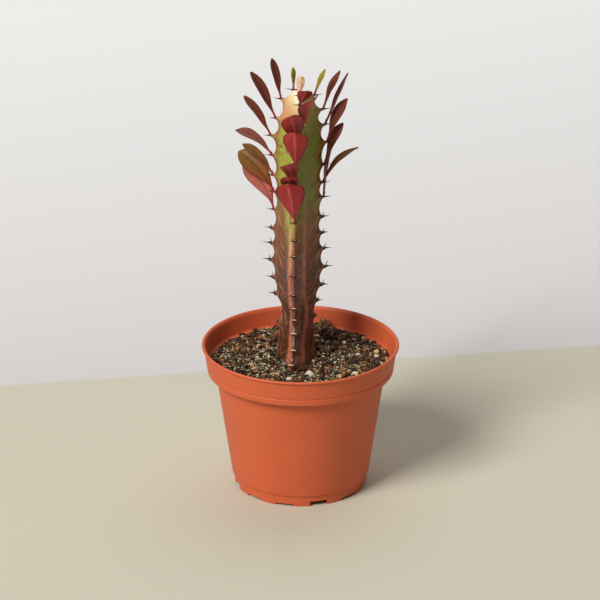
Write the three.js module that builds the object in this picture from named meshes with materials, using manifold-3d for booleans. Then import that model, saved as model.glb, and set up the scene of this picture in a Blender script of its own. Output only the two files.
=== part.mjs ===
// A potted euphorbia: a moulded plastic nursery pot, the potting mix that fills
// it, and one three-ribbed succulent stem with its leaves and spines.
//
// Millimetres, +Z up. The origin is the centre of the pot's foot, on the
// surface that the pot stands on. The front rib of the stem points along -Y.

import * as THREE from "three";
import { mergeVertices } from "three/addons/utils/BufferGeometryUtils.js";
import Module from "manifold-3d";

const wasm = await Module();
wasm.setup();

// ---------------------------------------------------------------- dimensions

const POT_HEIGHT = 83.3;
const RIM_RADIUS = 55;
const WALL = 1.2;
const ROUND_SEGMENTS = 60;

const FOOT_RADIUS = 36.8;
const FOOT_WIDTH = 1.5;
const STEP_HEIGHT = 6.8;
const STEP_RADIUS = 38.4;
const FLOOR_TOP = 5.5;

const COLLAR_BOTTOM = 67.8;
const COLLAR_RADIUS = 51.8;
const COLLAR_TOP_RADIUS = 54;
const BODY_TOP_RADIUS = 47.4;
const GROOVE_HEIGHT = 71.5;
const GROOVE_DEPTH = 0.35;
const LEDGE_HEIGHT = 72.5;
const BEAD_HEIGHT = 1.6;

const NOTCH_COUNT = 12;
const NOTCH_WIDTH = 9.8;
const DEEP_NOTCH = 3;
const SHALLOW_NOTCH = 1.4;
const FIRST_NOTCH_AZIMUTH = -74;
const DEEP_EVERY = 3;

const DRAIN_COUNT = 8;
const DRAIN_RADIUS = 3;
const DRAIN_CIRCLE = 26;

const FIT_GAP = 0.3;
const SOIL_HEIGHT = 73;
const SOIL_RELIEF = 1.2;
const SPILL_RADIUS = 50.4;
const CHIP_COUNT = 22;
const GRAIN_COUNT = 9;

const STEM_TOP = 232;
const STEM_BOTTOM = 46;
const STEM_SHIFT = -2.8;
const STEM_LEAN = 2.8;
const CREST_STEPS = 4;
const CORE_SHARE = 0.37;
const BASE_CORE_SHARE = 0.58;
const CREST_SPREAD = 17.5;
const CREST_POWER = 0.9;
const MARGIN_SPREAD = 11;

const PETIOLE_WIDTH = 1.3;
const PETIOLE_DEPTH = 1.2;
const BLADE_THICKNESS = 0.7;
const LEAF_WIDEST = 0.7;
const LEAF_FOLD = 13;
const LEAF_STATIONS = 8;
const LEAF_ROOT = 2.2;
const LEAF_INSET = 0.7;

const SPINE_LENGTH = 5.4;
const SPINE_RADIUS = 0.45;
const SPINE_SPREAD = 46;
const SPINE_RISE = 0.26;
const SPINE_ROOT = 0.5;
const SPINE_INSET = 1.2;
const WORN_SPINE = 0.5;

// Angles from one rib's crest towards the next at which the skin is drawn.
const FLANK_ANGLES = [0, 5, 13, 28, 60, 92, 107, 115];

// Reach of the tooth tips from the stem's axis, as [height, radius].
const TOOTH_REACH = [
  [STEM_BOTTOM, 9], [72, 14], [86, 12.8], [101, 11.6], [110, 15], [128, 18.3],
  [150, 17.3], [172, 16.1], [203, 17.6], [212, 17], [219, 14.7], [226, 11.4], [233, 4.4],
];

// One leaf: length and greatest width, the rise of its midrib above the level
// at its foot and at its tip, its lean to the right seen from outside, and its
// roll about the midrib, in degrees.
const leaf = (length, width, rise, tip, lean, roll) => ({ length, width, rise, tip, lean, roll });

// The three ribs, with the heights of their teeth from the crown down and how
// much further than the table each tooth reaches. The upper teeth still carry
// their leaves, in the same order.
const RIBS = [
  {
    azimuth: -90,
    teeth: [231, 227, 216, 205, 192, 181.5, 171.5, 161, 151,
      141.5, 130.5, 118, 109.5, 101, 93.5, 83.5, 75],
    extra: [0, 0, 0.3, 0, -0.3, 0.2, 0, -0.2, 0.3, 0, 0.4, -0.3, 0.2, -0.4, 0.6, -0.2, 0.3],
    leaves: [
      leaf(11.5, 4.4, 86, 80, 4, 0),
      leaf(16.5, 8.2, 53, 45, 21, 16),
      leaf(27, 13.5, 84, 24, 11, 42),
      leaf(25.5, 12, 82, 46, -15, 6),
      leaf(28, 13.5, 82, 50, 0, 0),
      leaf(25, 9.5, 78, 25, -11, 4),
      leaf(27, 9.5, 80, 32, -9, 4),
      leaf(30, 16, 82, 50, -6, 0),
    ],
  },
  {
    azimuth: 30,
    teeth: [228, 218.3, 209, 199.5, 187, 176.5, 168, 156.5, 147,
      137.5, 126.5, 116, 107, 98, 90.5, 82.5, 74.5],
    extra: [-0.1, 1.2, 0.6, 0.6, -0.5, -0.8, 0.1, -0.9, -1.2, -0.4, 0.5, 0.6, 0.3, 1.2, 1, 0, 0.3],
    leaves: [
      leaf(15, 3.5, 68, 60, 0, 10),
      leaf(22.6, 5.2, 69, 51, 1, 3),
      leaf(30.5, 6, 62, 63, -3, -20),
      leaf(26, 9, 69, 52, 1, 4),
      leaf(24.8, 9, 70, 56, 0, 4),
      leaf(28, 9, 62, 16, -3, -14),
      leaf(34, 9, 88, 70, 0, -20),
    ],
  },
  {
    azimuth: 150,
    teeth: [231.5, 225, 214, 203, 191, 179.5, 170, 159.5, 148.5,
      139.5, 129.5, 119.5, 110, 101, 93.5, 86, 75],
    extra: [-0.6, 0.9, -1.4, 0.9, 1.4, 1, 0.5, -0.1, 0.7, 0.3, 0.5, -0.2, 0.2, -1.6, 1.2, 0.5, 1],
    leaves: [
      leaf(12.6, 3, 92, 86, 0, -20),
      leaf(22.7, 5.8, 76, 74, 0, -16),
      leaf(28.5, 8, 63, 54, 0, -12),
      leaf(26, 6.4, 58, 41, 0, -12),
      leaf(26.8, 8, 46, -4, 0, -10),
      leaf(25, 7.4, 52, 15, 0, -6),
      leaf(30.5, 11.6, 57, 18, 0, -42),
      leaf(32, 11.6, 76, 20, 0, -46),
    ],
  },
];

const TERRACOTTA_PLASTIC = new THREE.MeshStandardMaterial({ color: 0xc8633f, roughness: 0.55, metalness: 0 });
const PEAT_MIX = new THREE.MeshStandardMaterial({ color: 0x4a3a2c, roughness: 1, metalness: 0 });
const SUCCULENT_SKIN = new THREE.MeshStandardMaterial({ color: 0x6f6a35, roughness: 0.5, metalness: 0 });

// ------------------------------------------------------------------- helpers

const radians = THREE.MathUtils.degToRad;
const lerp = THREE.MathUtils.lerp;
const smoothstep = THREE.MathUtils.smoothstep;
const point = (r, z) => new THREE.Vector2(r, z);

// A small seeded generator, so that every build gives the same object.
function seeded(seed) {
  let state = seed;
  return () => {
    state = (state * 16807) % 2147483647;
    return state / 2147483647;
  };
}

// Straight-line interpolation in a list of [position, value] pairs.
function along(list, position) {
  const next = list.findIndex(([at]) => at > position);
  if (next === -1) return list.at(-1)[1];
  if (next === 0) return list[0][1];
  const [before, after] = [list[next - 1], list[next]];
  return lerp(before[1], after[1], (position - before[0]) / (after[0] - before[0]));
}

function plainGeometry(geometry) {
  const plain = geometry.clone();
  plain.deleteAttribute("normal");
  plain.deleteAttribute("uv");
  return mergeVertices(plain, 1e-4);
}

function toSolid(geometry) {
  const plain = plainGeometry(geometry);
  const vertProperties = new Float32Array(plain.attributes.position.array);
  const triVerts = new Uint32Array(plain.index.array);
  return new wasm.Manifold(new wasm.Mesh({ numProp: 3, vertProperties, triVerts }));
}

function toGeometry(solid) {
  const mesh = solid.getMesh();
  const geometry = new THREE.BufferGeometry();
  geometry.setAttribute("position", new THREE.BufferAttribute(mesh.vertProperties, 3));
  geometry.setIndex(new THREE.BufferAttribute(mesh.triVerts, 1));
  return geometry;
}

// A turned body: the profile runs outward, up and back to the axis.
function turned(profile, segments) {
  return new THREE.LatheGeometry(profile, segments).rotateX(Math.PI / 2);
}

// A closed skin over rings of points that follow each other along a path. Each
// ring runs anticlockwise seen from the path's end. The quads of the ring's
// second half are split the other way, so that both faces of a thin blade fold
// on the same lines.
function ringSolid(rings) {
  const count = rings[0].length;
  const positions = rings.flat().flatMap((p) => [p.x, p.y, p.z]);
  const indices = [];
  for (let i = 0; i < rings.length - 1; i++) {
    for (let j = 0; j < count; j++) {
      const a = i * count + j;
      const b = i * count + ((j + 1) % count);
      const c = b + count;
      const d = a + count;
      if (j < count / 2) indices.push(a, b, c, a, c, d);
      else indices.push(a, b, d, b, c, d);
    }
  }
  for (const [ring, first, turn] of [[rings[0], 0, -1], [rings.at(-1), (rings.length - 1) * count, 1]]) {
    const middle = new THREE.Vector3();
    ring.forEach((p) => middle.addScaledVector(p, 1 / count));
    const centre = positions.length / 3;
    positions.push(middle.x, middle.y, middle.z);
    for (let j = 0; j < count; j++) {
      const [a, b] = [first + j, first + ((j + 1) % count)];
      indices.push(centre, ...(turn > 0 ? [a, b] : [b, a]));
    }
  }
  const geometry = new THREE.BufferGeometry();
  geometry.setAttribute("position", new THREE.Float32BufferAttribute(positions, 3));
  geometry.setIndex(indices);
  return geometry;
}

function part(name, geometry, material) {
  const mesh = new THREE.Mesh(geometry, material);
  mesh.name = name;
  return mesh;
}

// ----------------------------------------------------------------------- pot

// The wall of the body leans outward in one straight line above the step.
const bodySlope = (BODY_TOP_RADIUS - STEP_RADIUS) / (COLLAR_BOTTOM - STEP_HEIGHT);
const bodyRadius = (z) => STEP_RADIUS + bodySlope * (z - STEP_HEIGHT);
const innerRadius = (z) => bodyRadius(z) - WALL;
const collarSlope = (COLLAR_TOP_RADIUS - COLLAR_RADIUS) / (POT_HEIGHT - COLLAR_BOTTOM);
const collarRadius = (z) => COLLAR_RADIUS + collarSlope * (z - COLLAR_BOTTOM);

function potProfile() {
  const ledgeUnder = LEDGE_HEIGHT - WALL;
  const beadFoot = POT_HEIGHT - BEAD_HEIGHT;
  const innerStep = STEP_HEIGHT + WALL;
  return [
    point(0, FLOOR_TOP - WALL),
    point(FOOT_RADIUS - FOOT_WIDTH, FLOOR_TOP - WALL),
    point(FOOT_RADIUS - FOOT_WIDTH, 0),
    point(FOOT_RADIUS, 0),
    point(FOOT_RADIUS + 0.7, STEP_HEIGHT - 0.5),
    point(STEP_RADIUS, STEP_HEIGHT),
    point(bodyRadius(ledgeUnder), ledgeUnder),
    point(collarRadius(ledgeUnder) - WALL, ledgeUnder),
    point(COLLAR_RADIUS - WALL, COLLAR_BOTTOM),
    point(COLLAR_RADIUS, COLLAR_BOTTOM),
    point(collarRadius(GROOVE_HEIGHT - 0.4), GROOVE_HEIGHT - 0.4),
    point(collarRadius(GROOVE_HEIGHT) - GROOVE_DEPTH, GROOVE_HEIGHT),
    point(collarRadius(GROOVE_HEIGHT + 0.4), GROOVE_HEIGHT + 0.4),
    point(collarRadius(beadFoot), beadFoot),
    point(RIM_RADIUS - 0.2, beadFoot + 0.4),
    point(RIM_RADIUS, beadFoot + 0.9),
    point(RIM_RADIUS - 0.4, POT_HEIGHT - 0.2),
    point(RIM_RADIUS - 1, POT_HEIGHT),
    point(RIM_RADIUS - 1.7, POT_HEIGHT - 0.3),
    point(collarRadius(beadFoot) - WALL, beadFoot),
    point(collarRadius(LEDGE_HEIGHT) - WALL, LEDGE_HEIGHT + 0.5),
    point(collarRadius(LEDGE_HEIGHT) - WALL - 0.5, LEDGE_HEIGHT),
    point(innerRadius(LEDGE_HEIGHT) + 0.5, LEDGE_HEIGHT),
    point(innerRadius(LEDGE_HEIGHT), LEDGE_HEIGHT - 0.5),
    point(innerRadius(innerStep), innerStep),
    point(innerRadius(innerStep) - 1.1, FLOOR_TOP + 0.7),
    point(innerRadius(innerStep) - 2.5, FLOOR_TOP),
    point(0, FLOOR_TOP),
  ];
}

// Azimuths here run from the front (-Y) towards +X.
function atAzimuth(geometry, azimuth, radius, height) {
  const angle = radians(azimuth - 90);
  geometry.rotateZ(angle);
  return geometry.translate(radius * Math.cos(angle), radius * Math.sin(angle), height);
}

function makePot() {
  let pot = toSolid(turned(potProfile(), ROUND_SEGMENTS));
  for (let i = 0; i < NOTCH_COUNT; i++) {
    const depth = i % DEEP_EVERY === 0 ? DEEP_NOTCH : SHALLOW_NOTCH;
    const azimuth = FIRST_NOTCH_AZIMUTH + (i * 360) / NOTCH_COUNT;
    const block = new THREE.BoxGeometry(3 * FOOT_WIDTH, NOTCH_WIDTH, 2 * depth);
    pot = pot.subtract(toSolid(atAzimuth(block, azimuth, FOOT_RADIUS - FOOT_WIDTH / 2, 0)));
  }
  for (let i = 0; i < DRAIN_COUNT; i++) {
    const drill = new THREE.CylinderGeometry(DRAIN_RADIUS, DRAIN_RADIUS, 4 * WALL, 12);
    drill.rotateX(Math.PI / 2);
    const azimuth = (i * 360) / DRAIN_COUNT;
    pot = pot.subtract(toSolid(atAzimuth(drill, azimuth, DRAIN_CIRCLE, FLOOR_TOP - WALL / 2)));
  }
  return part("pot", toGeometry(pot), TERRACOTTA_PLASTIC);
}

// ---------------------------------------------------------------------- stem

// The stem starts left of the pot's axis and leans right as it rises.
function stemAxis(z) {
  const share = Math.max(0, (z - SOIL_HEIGHT) / (STEM_TOP - SOIL_HEIGHT));
  return new THREE.Vector3(STEM_SHIFT + STEM_LEAN * share ** 1.5, 0, z);
}

// The ribs turn a little clockwise, most of all at the soil, with one bend the
// other way at the crown.
function twist(z) {
  return -5 + 11 * Math.exp(-(((z - 213) / 12) ** 2)) - 6 * (1 - smoothstep(z, 73, 86));
}

// The solid core fills more of the oldest part of the stem.
function coreShare(z) {
  return lerp(BASE_CORE_SHARE, CORE_SHARE, smoothstep(z, 74, 98));
}

function outward(rib, z, swing = 0) {
  const angle = radians(rib.azimuth + twist(z) + swing);
  return new THREE.Vector3(Math.cos(angle), Math.sin(angle), 0);
}

// Height on a rib at a place counted in teeth from the crown.
function ribHeight(rib, place) {
  const knots = [STEM_TOP - 0.5, ...rib.teeth, STEM_BOTTOM];
  const at = THREE.MathUtils.clamp(place + 1, 0, knots.length - 1);
  const i = Math.min(Math.floor(at), knots.length - 2);
  return lerp(knots[i], knots[i + 1], at - i);
}

function toothReach(rib, i) {
  return along(TOOTH_REACH, ribHeight(rib, i)) + (rib.extra[i] ?? 0);
}

// Reach of the line through a rib's tooth tips, closing in over the crown.
function ribReach(rib, place) {
  if (place < 0) return toothReach(rib, 0) * (1 + place) ** 0.8;
  const tooth = Math.floor(place);
  return lerp(toothReach(rib, tooth), toothReach(rib, Math.ceil(place)), place - tooth);
}

// Scallop between two teeth, as a share of the reach: in under the upper tooth,
// deepest past halfway, and out along the flat top of the lower one.
function scallop(rib, place) {
  if (place < 0 || place > rib.teeth.length - 1) return 0;
  const share = place - Math.floor(place);
  const depth = 0.18 + 0.08 * smoothstep(ribHeight(rib, place), 190, 215);
  return depth * Math.sin(Math.PI * share ** 1.15) ** 0.5;
}

// How far a rib still stands out at an angle away from its crest. The scallops
// cut only its thin margin.
function ribShare(rib, place, degrees) {
  const wing = Math.exp(-((degrees / CREST_SPREAD) ** CREST_POWER));
  const margin = Math.exp(-((degrees / MARGIN_SPREAD) ** 2));
  return wing - (scallop(rib, place) * margin) / (1 - CORE_SHARE);
}

// One ring of the stem: each rib's crest, its two flanks and the hollow
// between it and the next.
function stemRing(place) {
  const third = 360 / RIBS.length;
  return RIBS.flatMap((rib, i) => {
    const next = RIBS[(i + 1) % RIBS.length];
    return FLANK_ANGLES.map((angle) => {
      const share = angle / third;
      const z = lerp(ribHeight(rib, place), ribHeight(next, place), share);
      const core = coreShare(z) * lerp(ribReach(rib, place), ribReach(next, place), share);
      const here = (ribReach(rib, place) - core) * ribShare(rib, place, angle);
      const there = (ribReach(next, place) - core) * ribShare(next, place, third - angle);
      return stemAxis(z).addScaledVector(outward(rib, z, angle), core + here + there);
    });
  });
}

// Rings from the buried end up to the crown, with one at every tooth.
function stemSkin() {
  const lowest = RIBS[0].teeth.length - 1;
  const places = [lowest + 1, lowest + 0.6, lowest + 0.3];
  for (let i = lowest * CREST_STEPS; i >= 0; i--) places.push(i / CREST_STEPS);
  places.push(-0.4, -0.75);
  return ringSolid(places.map(stemRing));
}

// -------------------------------------------------------------------- leaves

// Half the width of a leaf at a share of its length: a narrow petiole, a
// wedge-shaped base, the widest place past the middle and an acute tip.
function leafHalfWidth(width, share) {
  const base = Math.sin((Math.PI / 2) * Math.min(1, share / LEAF_WIDEST)) ** 1.4;
  const tip = Math.cos((Math.PI / 2) * Math.max(0, (share - LEAF_WIDEST) / (1 - LEAF_WIDEST)) * 0.98) ** 0.66;
  return Math.max((PETIOLE_WIDTH / 2) * (1 - 0.6 * share), (width / 2) * base * tip);
}

// One section of a leaf: a shallow V, thicker along its keel.
function leafRing(at, forward, side, width, share) {
  const upper = forward.clone().cross(side);
  const half = leafHalfWidth(width, share);
  const fold = half * Math.tan(radians(LEAF_FOLD));
  const thick = BLADE_THICKNESS / 2;
  const keel = lerp(PETIOLE_DEPTH, BLADE_THICKNESS, Math.min(1, 1.2 * share)) - thick;
  const corners = [
    [half, fold - thick], [half, fold + thick], [0, thick],
    [-half, fold + thick], [-half, fold - thick], [0, -keel],
  ];
  return corners.map(([x, n]) => at.clone().addScaledVector(side, x).addScaledVector(upper, n));
}

// The petiole's root lies inside the tooth. From its foot the midrib bends
// evenly, from its first rise to the rise at its tip.
function leafSkin(rib, i, shape) {
  const z = rib.teeth[i];
  const out = outward(rib, z);
  const aside = new THREE.Vector3(0, 0, 1).cross(out);
  const lean = radians(shape.lean);
  const heading = (share) => {
    const rise = radians(lerp(shape.rise, shape.tip, share));
    const direction = out.clone().multiplyScalar(Math.cos(rise));
    direction.addScaledVector(aside, Math.sin(rise) * Math.sin(lean));
    return direction.setZ(Math.sin(rise) * Math.cos(lean));
  };
  const across = (forward, share) => {
    const side = aside.clone().multiplyScalar(Math.cos(lean)).setZ(-Math.sin(lean));
    side.addScaledVector(forward, -side.dot(forward)).normalize();
    return side.applyAxisAngle(forward, radians(shape.roll) * smoothstep(share, 0, 0.4));
  };
  const at = stemAxis(z + 0.2).addScaledVector(out, toothReach(rib, i) - LEAF_INSET);
  const root = at.clone().addScaledVector(out, -LEAF_ROOT);
  const elbow = heading(0).add(out).normalize();
  const rings = [leafRing(root, out, aside, shape.width, 0), leafRing(at, elbow, aside, shape.width, 0)];
  for (let station = 1; station <= LEAF_STATIONS; station++) {
    const share = station / LEAF_STATIONS;
    at.addScaledVector(heading(share - 0.5 / LEAF_STATIONS), shape.length / LEAF_STATIONS);
    rings.push(leafRing(at, heading(share), across(heading(share), share), shape.width, share));
  }
  return ringSolid(rings);
}

// -------------------------------------------------------------------- spines

// A spine is a slender three-sided point. The two of a pair cross inside the
// tooth, on the rib's crest line.
function spineSkin(rib, i, swing, length) {
  const z = rib.teeth[i];
  const direction = outward(rib, z, swing);
  direction.z = SPINE_RISE;
  direction.normalize();
  const tooth = stemAxis(z - 0.2).addScaledVector(outward(rib, z), toothReach(rib, i) - SPINE_INSET);
  const cone = new THREE.ConeGeometry(SPINE_RADIUS, length + SPINE_ROOT, 3);
  cone.translate(0, (length - SPINE_ROOT) / 2, 0);
  cone.applyQuaternion(new THREE.Quaternion().setFromUnitVectors(new THREE.Vector3(0, 1, 0), direction));
  return cone.translate(tooth.x, tooth.y, tooth.z);
}

function makeLeafyStem() {
  const random = seeded(3);
  let plant = toSolid(stemSkin());
  for (const rib of RIBS) {
    rib.teeth.forEach((z, i) => {
      const shape = rib.leaves[i];
      if (shape) plant = plant.add(toSolid(leafSkin(rib, i, shape)));
      const worn = lerp(WORN_SPINE, 1, smoothstep(z, 100, 112));
      const length = worn * SPINE_LENGTH * (0.85 + 0.3 * random());
      for (const swing of [-SPINE_SPREAD, SPINE_SPREAD]) {
        plant = plant.add(toSolid(spineSkin(rib, i, swing, length)));
      }
    });
  }
  return part("leafy_stem", toGeometry(plant), SUCCULENT_SKIN);
}

// ---------------------------------------------------------------------- soil

// The mix lies a little higher at the back and on the left, is pressed down in
// front of the stem, and has gentle lumps from a few crossed waves that fade at
// the wall.
function soilRelief(x, y) {
  const pressed = -1.6 * Math.exp(-((Math.hypot(x + 2, y + 17) / 9) ** 2));
  const slope = 0.035 * y - 0.03 * x + pressed;
  const lumps = Math.sin(0.31 * x + 0.6) * Math.cos(0.27 * y) + 0.7 * Math.sin(0.53 * y + 0.22 * x);
  const crumbs = 0.25 * Math.sin(1.1 * x - 0.8 * y) + 0.2 * Math.cos(0.9 * x + 1.3 * y);
  const inside = 1 - smoothstep(Math.hypot(x, y), 40, 50);
  return SOIL_RELIEF * inside * (slope + lumps + crumbs);
}

// The mix spills over the ledge at the front and the sides, not at the back.
function spill(x, y) {
  const radius = Math.hypot(x, y);
  const lip = innerRadius(LEDGE_HEIGHT) + 1;
  if (radius <= lip) return 1;
  const forward = smoothstep(-y / radius, -0.55, 0.05);
  return (lip + 0.3 + (radius - lip - 0.3) * forward) / radius;
}

function soilBody() {
  const base = FLOOR_TOP + FIT_GAP;
  const corner = STEP_HEIGHT + WALL;
  const lip = LEDGE_HEIGHT + FIT_GAP;
  const wallRadius = (z) => innerRadius(z) - FIT_GAP;
  const rings = [0.92, 0.84, 0.76, 0.68, 0.6, 0.51, 0.42, 0.2];
  const profile = [
    point(0, base),
    point(wallRadius(corner) - 2.6, base),
    point(wallRadius(corner) - 1.2, base + 0.8),
    point(wallRadius(corner), corner + 0.2),
    point(wallRadius(LEDGE_HEIGHT), LEDGE_HEIGHT - 0.5),
    point(innerRadius(LEDGE_HEIGHT) + 0.3, lip),
    point(SPILL_RADIUS, lip),
    point(SPILL_RADIUS - 0.2, SOIL_HEIGHT + 0.6),
    ...rings.map((share) => point(share * SPILL_RADIUS, SOIL_HEIGHT + 0.6)),
    point(0, SOIL_HEIGHT + 0.6),
  ];
  const geometry = plainGeometry(turned(profile, 44));
  const position = geometry.attributes.position;
  for (let i = 0; i < position.count; i++) {
    const [x, y, z] = [position.getX(i), position.getY(i), position.getZ(i)];
    const reach = z >= lip - 0.01 ? spill(x, y) : 1;
    const top = z > SOIL_HEIGHT ? z + soilRelief(x, y) : z;
    position.setXYZ(i, x * reach, y * reach, top);
  }
  return toSolid(geometry);
}

// Bark chips and perlite grains lie more than half sunk in the surface.
function lumpSkin(random, geometry, low, high) {
  const size = lerp(low, high, random());
  geometry.scale(size, size * lerp(0.5, 0.9, random()), size * lerp(0.35, 0.6, random()));
  geometry.rotateX(lerp(-0.5, 0.5, random()));
  geometry.rotateZ(2 * Math.PI * random());
  const radius = lerp(21, 42, Math.sqrt(random()));
  const angle = 2 * Math.PI * random();
  const [x, y] = [radius * Math.cos(angle), radius * Math.sin(angle)];
  return geometry.translate(x, y, SOIL_HEIGHT + 0.2 + soilRelief(x, y));
}

// The hole that the stem stands in is the stem's own skin, a little larger.
function stemHole() {
  const skin = plainGeometry(stemSkin());
  skin.computeVertexNormals();
  const position = skin.attributes.position;
  const normal = skin.attributes.normal;
  for (let i = 0; i < position.count; i++) {
    position.setXYZ(
      i,
      position.getX(i) + FIT_GAP * normal.getX(i),
      position.getY(i) + FIT_GAP * normal.getY(i),
      position.getZ(i) + FIT_GAP * normal.getZ(i),
    );
  }
  return toSolid(skin);
}

function makeSoil() {
  const random = seeded(11);
  let soil = soilBody();
  for (let i = 0; i < CHIP_COUNT; i++) {
    soil = soil.add(toSolid(lumpSkin(random, new THREE.BoxGeometry(1, 1, 1), 4, 8.5)));
  }
  for (let i = 0; i < GRAIN_COUNT; i++) {
    soil = soil.add(toSolid(lumpSkin(random, new THREE.IcosahedronGeometry(0.5), 3.5, 5.5)));
  }
  soil = soil.subtract(stemHole());
  return part("potting_soil", toGeometry(soil), PEAT_MIX);
}

// ------------------------------------------------------------------ assembly

const pottedEuphorbia = new THREE.Group();
pottedEuphorbia.add(makePot(), makeSoil(), makeLeafyStem());

export default pottedEuphorbia;
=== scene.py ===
"""A young potted euphorbia: the dressed model and the studio that it stands in.

The file is laid out as an add-on. Each piece, or group of like pieces, has an
operator, and the sizes and colours that a user would change are in the sidebar.
Shapes are worked out in millimetres and written to the meshes in metres. The
origin is the centre of the pot's foot, +Z is up and the front is -Y.
"""

import math
import random

import bpy
from bpy.props import FloatProperty, FloatVectorProperty, IntProperty, PointerProperty
from mathutils import Matrix, Quaternion, Vector, noise


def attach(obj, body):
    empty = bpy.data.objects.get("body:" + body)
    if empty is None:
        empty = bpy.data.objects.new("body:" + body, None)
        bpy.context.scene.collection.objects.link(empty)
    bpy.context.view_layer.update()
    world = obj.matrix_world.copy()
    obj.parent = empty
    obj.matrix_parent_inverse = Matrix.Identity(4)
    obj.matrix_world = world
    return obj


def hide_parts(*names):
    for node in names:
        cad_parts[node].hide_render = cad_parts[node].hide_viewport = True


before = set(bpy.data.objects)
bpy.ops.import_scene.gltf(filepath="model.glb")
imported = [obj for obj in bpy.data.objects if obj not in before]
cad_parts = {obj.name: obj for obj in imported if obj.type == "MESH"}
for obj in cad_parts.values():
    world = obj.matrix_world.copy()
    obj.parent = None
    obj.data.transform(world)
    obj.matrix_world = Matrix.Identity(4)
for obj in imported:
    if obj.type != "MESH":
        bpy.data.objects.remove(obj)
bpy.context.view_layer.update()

bl_info = {
    "name": "Potted Euphorbia",
    "version": (1, 0, 0),
    "blender": (4, 5, 0),
    "location": "View3D > Sidebar > Euphorbia",
    "description": "Builds a young three-ribbed euphorbia in a plastic nursery pot",
    "category": "Add Mesh",
}

MM = 0.001

# ------------------------------------------------------------------- plant plan

SOIL_HEIGHT = 73
STEM_TOP = 232
STEM_BOTTOM = 46

# How far left of the pot's axis the stem starts, how far it leans back to the
# right, and how late on its way up.
STEM_SHIFT = -2.8
STEM_LEAN = 2.8
LEAN_POWER = 1.5

# Turn of the ribs about the stem, in degrees: all the way up, what is added round
# one height under the crown, and what is added below a zone at the foot.
TWIST = -5
CROWN_TWIST, CROWN_TWIST_HEIGHT, CROWN_TWIST_SPREAD = 11, 213, 12
FOOT_TWIST, FOOT_TWIST_ZONE = -6, (73, 86)

# Share of the reach that the solid core fills, above and below the zone where it
# changes.
CORE_SHARE = 0.37
BASE_CORE_SHARE = 0.58
CORE_ZONE = (74, 98)

# How wide a rib is, in degrees from its crest, how round its crest is, and how
# wide the band is that the scallops cut into.
CREST_SPREAD = 17.5
CREST_POWER = 0.9
CREST_ROUNDING = 2.0
MARGIN_SPREAD = 11

# Depth of the scallops as a share of the reach, how much deeper they are in the
# young zone, and how far they lie towards the lower tooth.
SCALLOP_DEPTH = 0.18
YOUNG_SCALLOP_DEPTH, YOUNG_SCALLOP_ZONE = 0.08, (190, 215)
SCALLOP_SKEW = 1.15

# How abruptly the ribs close in over the crown: the lower, the blunter the top.
CROWN_POWER = 0.8

# Reach of the tooth tips from the stem's axis, as (height, radius).
TOOTH_REACH = (
    (STEM_BOTTOM, 9), (72, 14), (86, 12.8), (101, 11.6), (110, 15), (128, 18.3),
    (150, 17.3), (172, 16.1), (203, 17.6), (212, 17), (219, 14.7), (226, 11.4), (233, 4.4),
)

# The three ribs: azimuth, the heights of the teeth from the crown down, how much
# further than the table each tooth reaches, and the leaves that the upper teeth
# still carry, in the same order. A leaf has its length and greatest width, then
# in degrees the rise of its midrib at the foot and at the tip, its lean to the
# right seen from outside and its roll, and last its kind of colour.
RIBS = (
    {
        "side": "front",
        "azimuth": -90,
        "teeth": (231, 227, 216, 205, 192, 181.5, 171.5, 161, 151,
                  141.5, 130.5, 118, 109.5, 101, 93.5, 83.5, 75),
        "extra": (0, 0, 0.3, 0, -0.3, 0.2, 0, -0.2, 0.3, 0, 0.4, -0.3, 0.2, -0.4, 0.6, -0.2, 0.3),
        "leaves": (
            (11.5, 4.4, 86, 80, 4, 0, "bud"),
            (16.5, 8.2, 53, 45, 21, 16, "wine"),
            (27, 13.5, 84, 24, 11, 42, "wine"),
            (25.5, 12, 82, 46, -15, 6, "wine"),
            (28, 13.5, 82, 50, 0, 0, "wine"),
            (25, 9.5, 78, 25, -11, 4, "wine"),
            (27, 9.5, 80, 32, -9, 4, "wine"),
            (30, 16, 82, 50, -6, 0, "wine"),
        ),
    },
    {
        "side": "right",
        "azimuth": 30,
        "teeth": (228, 218.3, 209, 199.5, 187, 176.5, 168, 156.5, 147,
                  137.5, 126.5, 116, 107, 98, 90.5, 82.5, 74.5),
        "extra": (-0.1, 1.2, 0.6, 0.6, -0.5, -0.8, 0.1, -0.9, -1.2, -0.4, 0.5, 0.6, 0.3, 1.2, 1, 0, 0.3),
        "leaves": (
            (15, 3.5, 68, 60, 0, 10, "young"),
            (22.6, 5.2, 69, 51, 1, 3, "wine"),
            (30.5, 6, 62, 63, -3, -20, "wine"),
            (26, 9, 69, 52, 1, 4, "wine"),
            (24.8, 9, 70, 56, 0, 4, "wine"),
            (28, 9, 62, 16, -3, -14, "olive"),
            (34, 9, 88, 70, 0, -20, "wine"),
        ),
    },
    {
        "side": "left",
        "azimuth": 150,
        "teeth": (231.5, 225, 214, 203, 191, 179.5, 170, 159.5, 148.5,
                  139.5, 129.5, 119.5, 110, 101, 93.5, 86, 75),
        "extra": (-0.6, 0.9, -1.4, 0.9, 1.4, 1, 0.5, -0.1, 0.7, 0.3, 0.5, -0.2, 0.2, -1.6, 1.2, 0.5, 1),
        "leaves": (
            (12.6, 3, 92, 86, 0, -20, "young"),
            (22.7, 5.8, 76, 74, 0, -16, "wine"),
            (28.5, 8, 63, 54, 0, -12, "wine"),
            (26, 6.4, 58, 41, 0, -12, "wine"),
            (26.8, 8, 46, -4, 0, -10, "wine"),
            (25, 7.4, 52, 15, 0, -6, "olive"),
            (30.5, 11.6, 57, 18, 0, -42, "olive"),
            (32, 11.6, 76, 20, 0, -46, "rosy"),
        ),
    },
)

# --------------------------------------------------------------------- pot plan

# The mix is made for a pot of this height and wall.
POT_HEIGHT = 83.3
RIM_RADIUS = 55
WALL = 1.2

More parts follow.
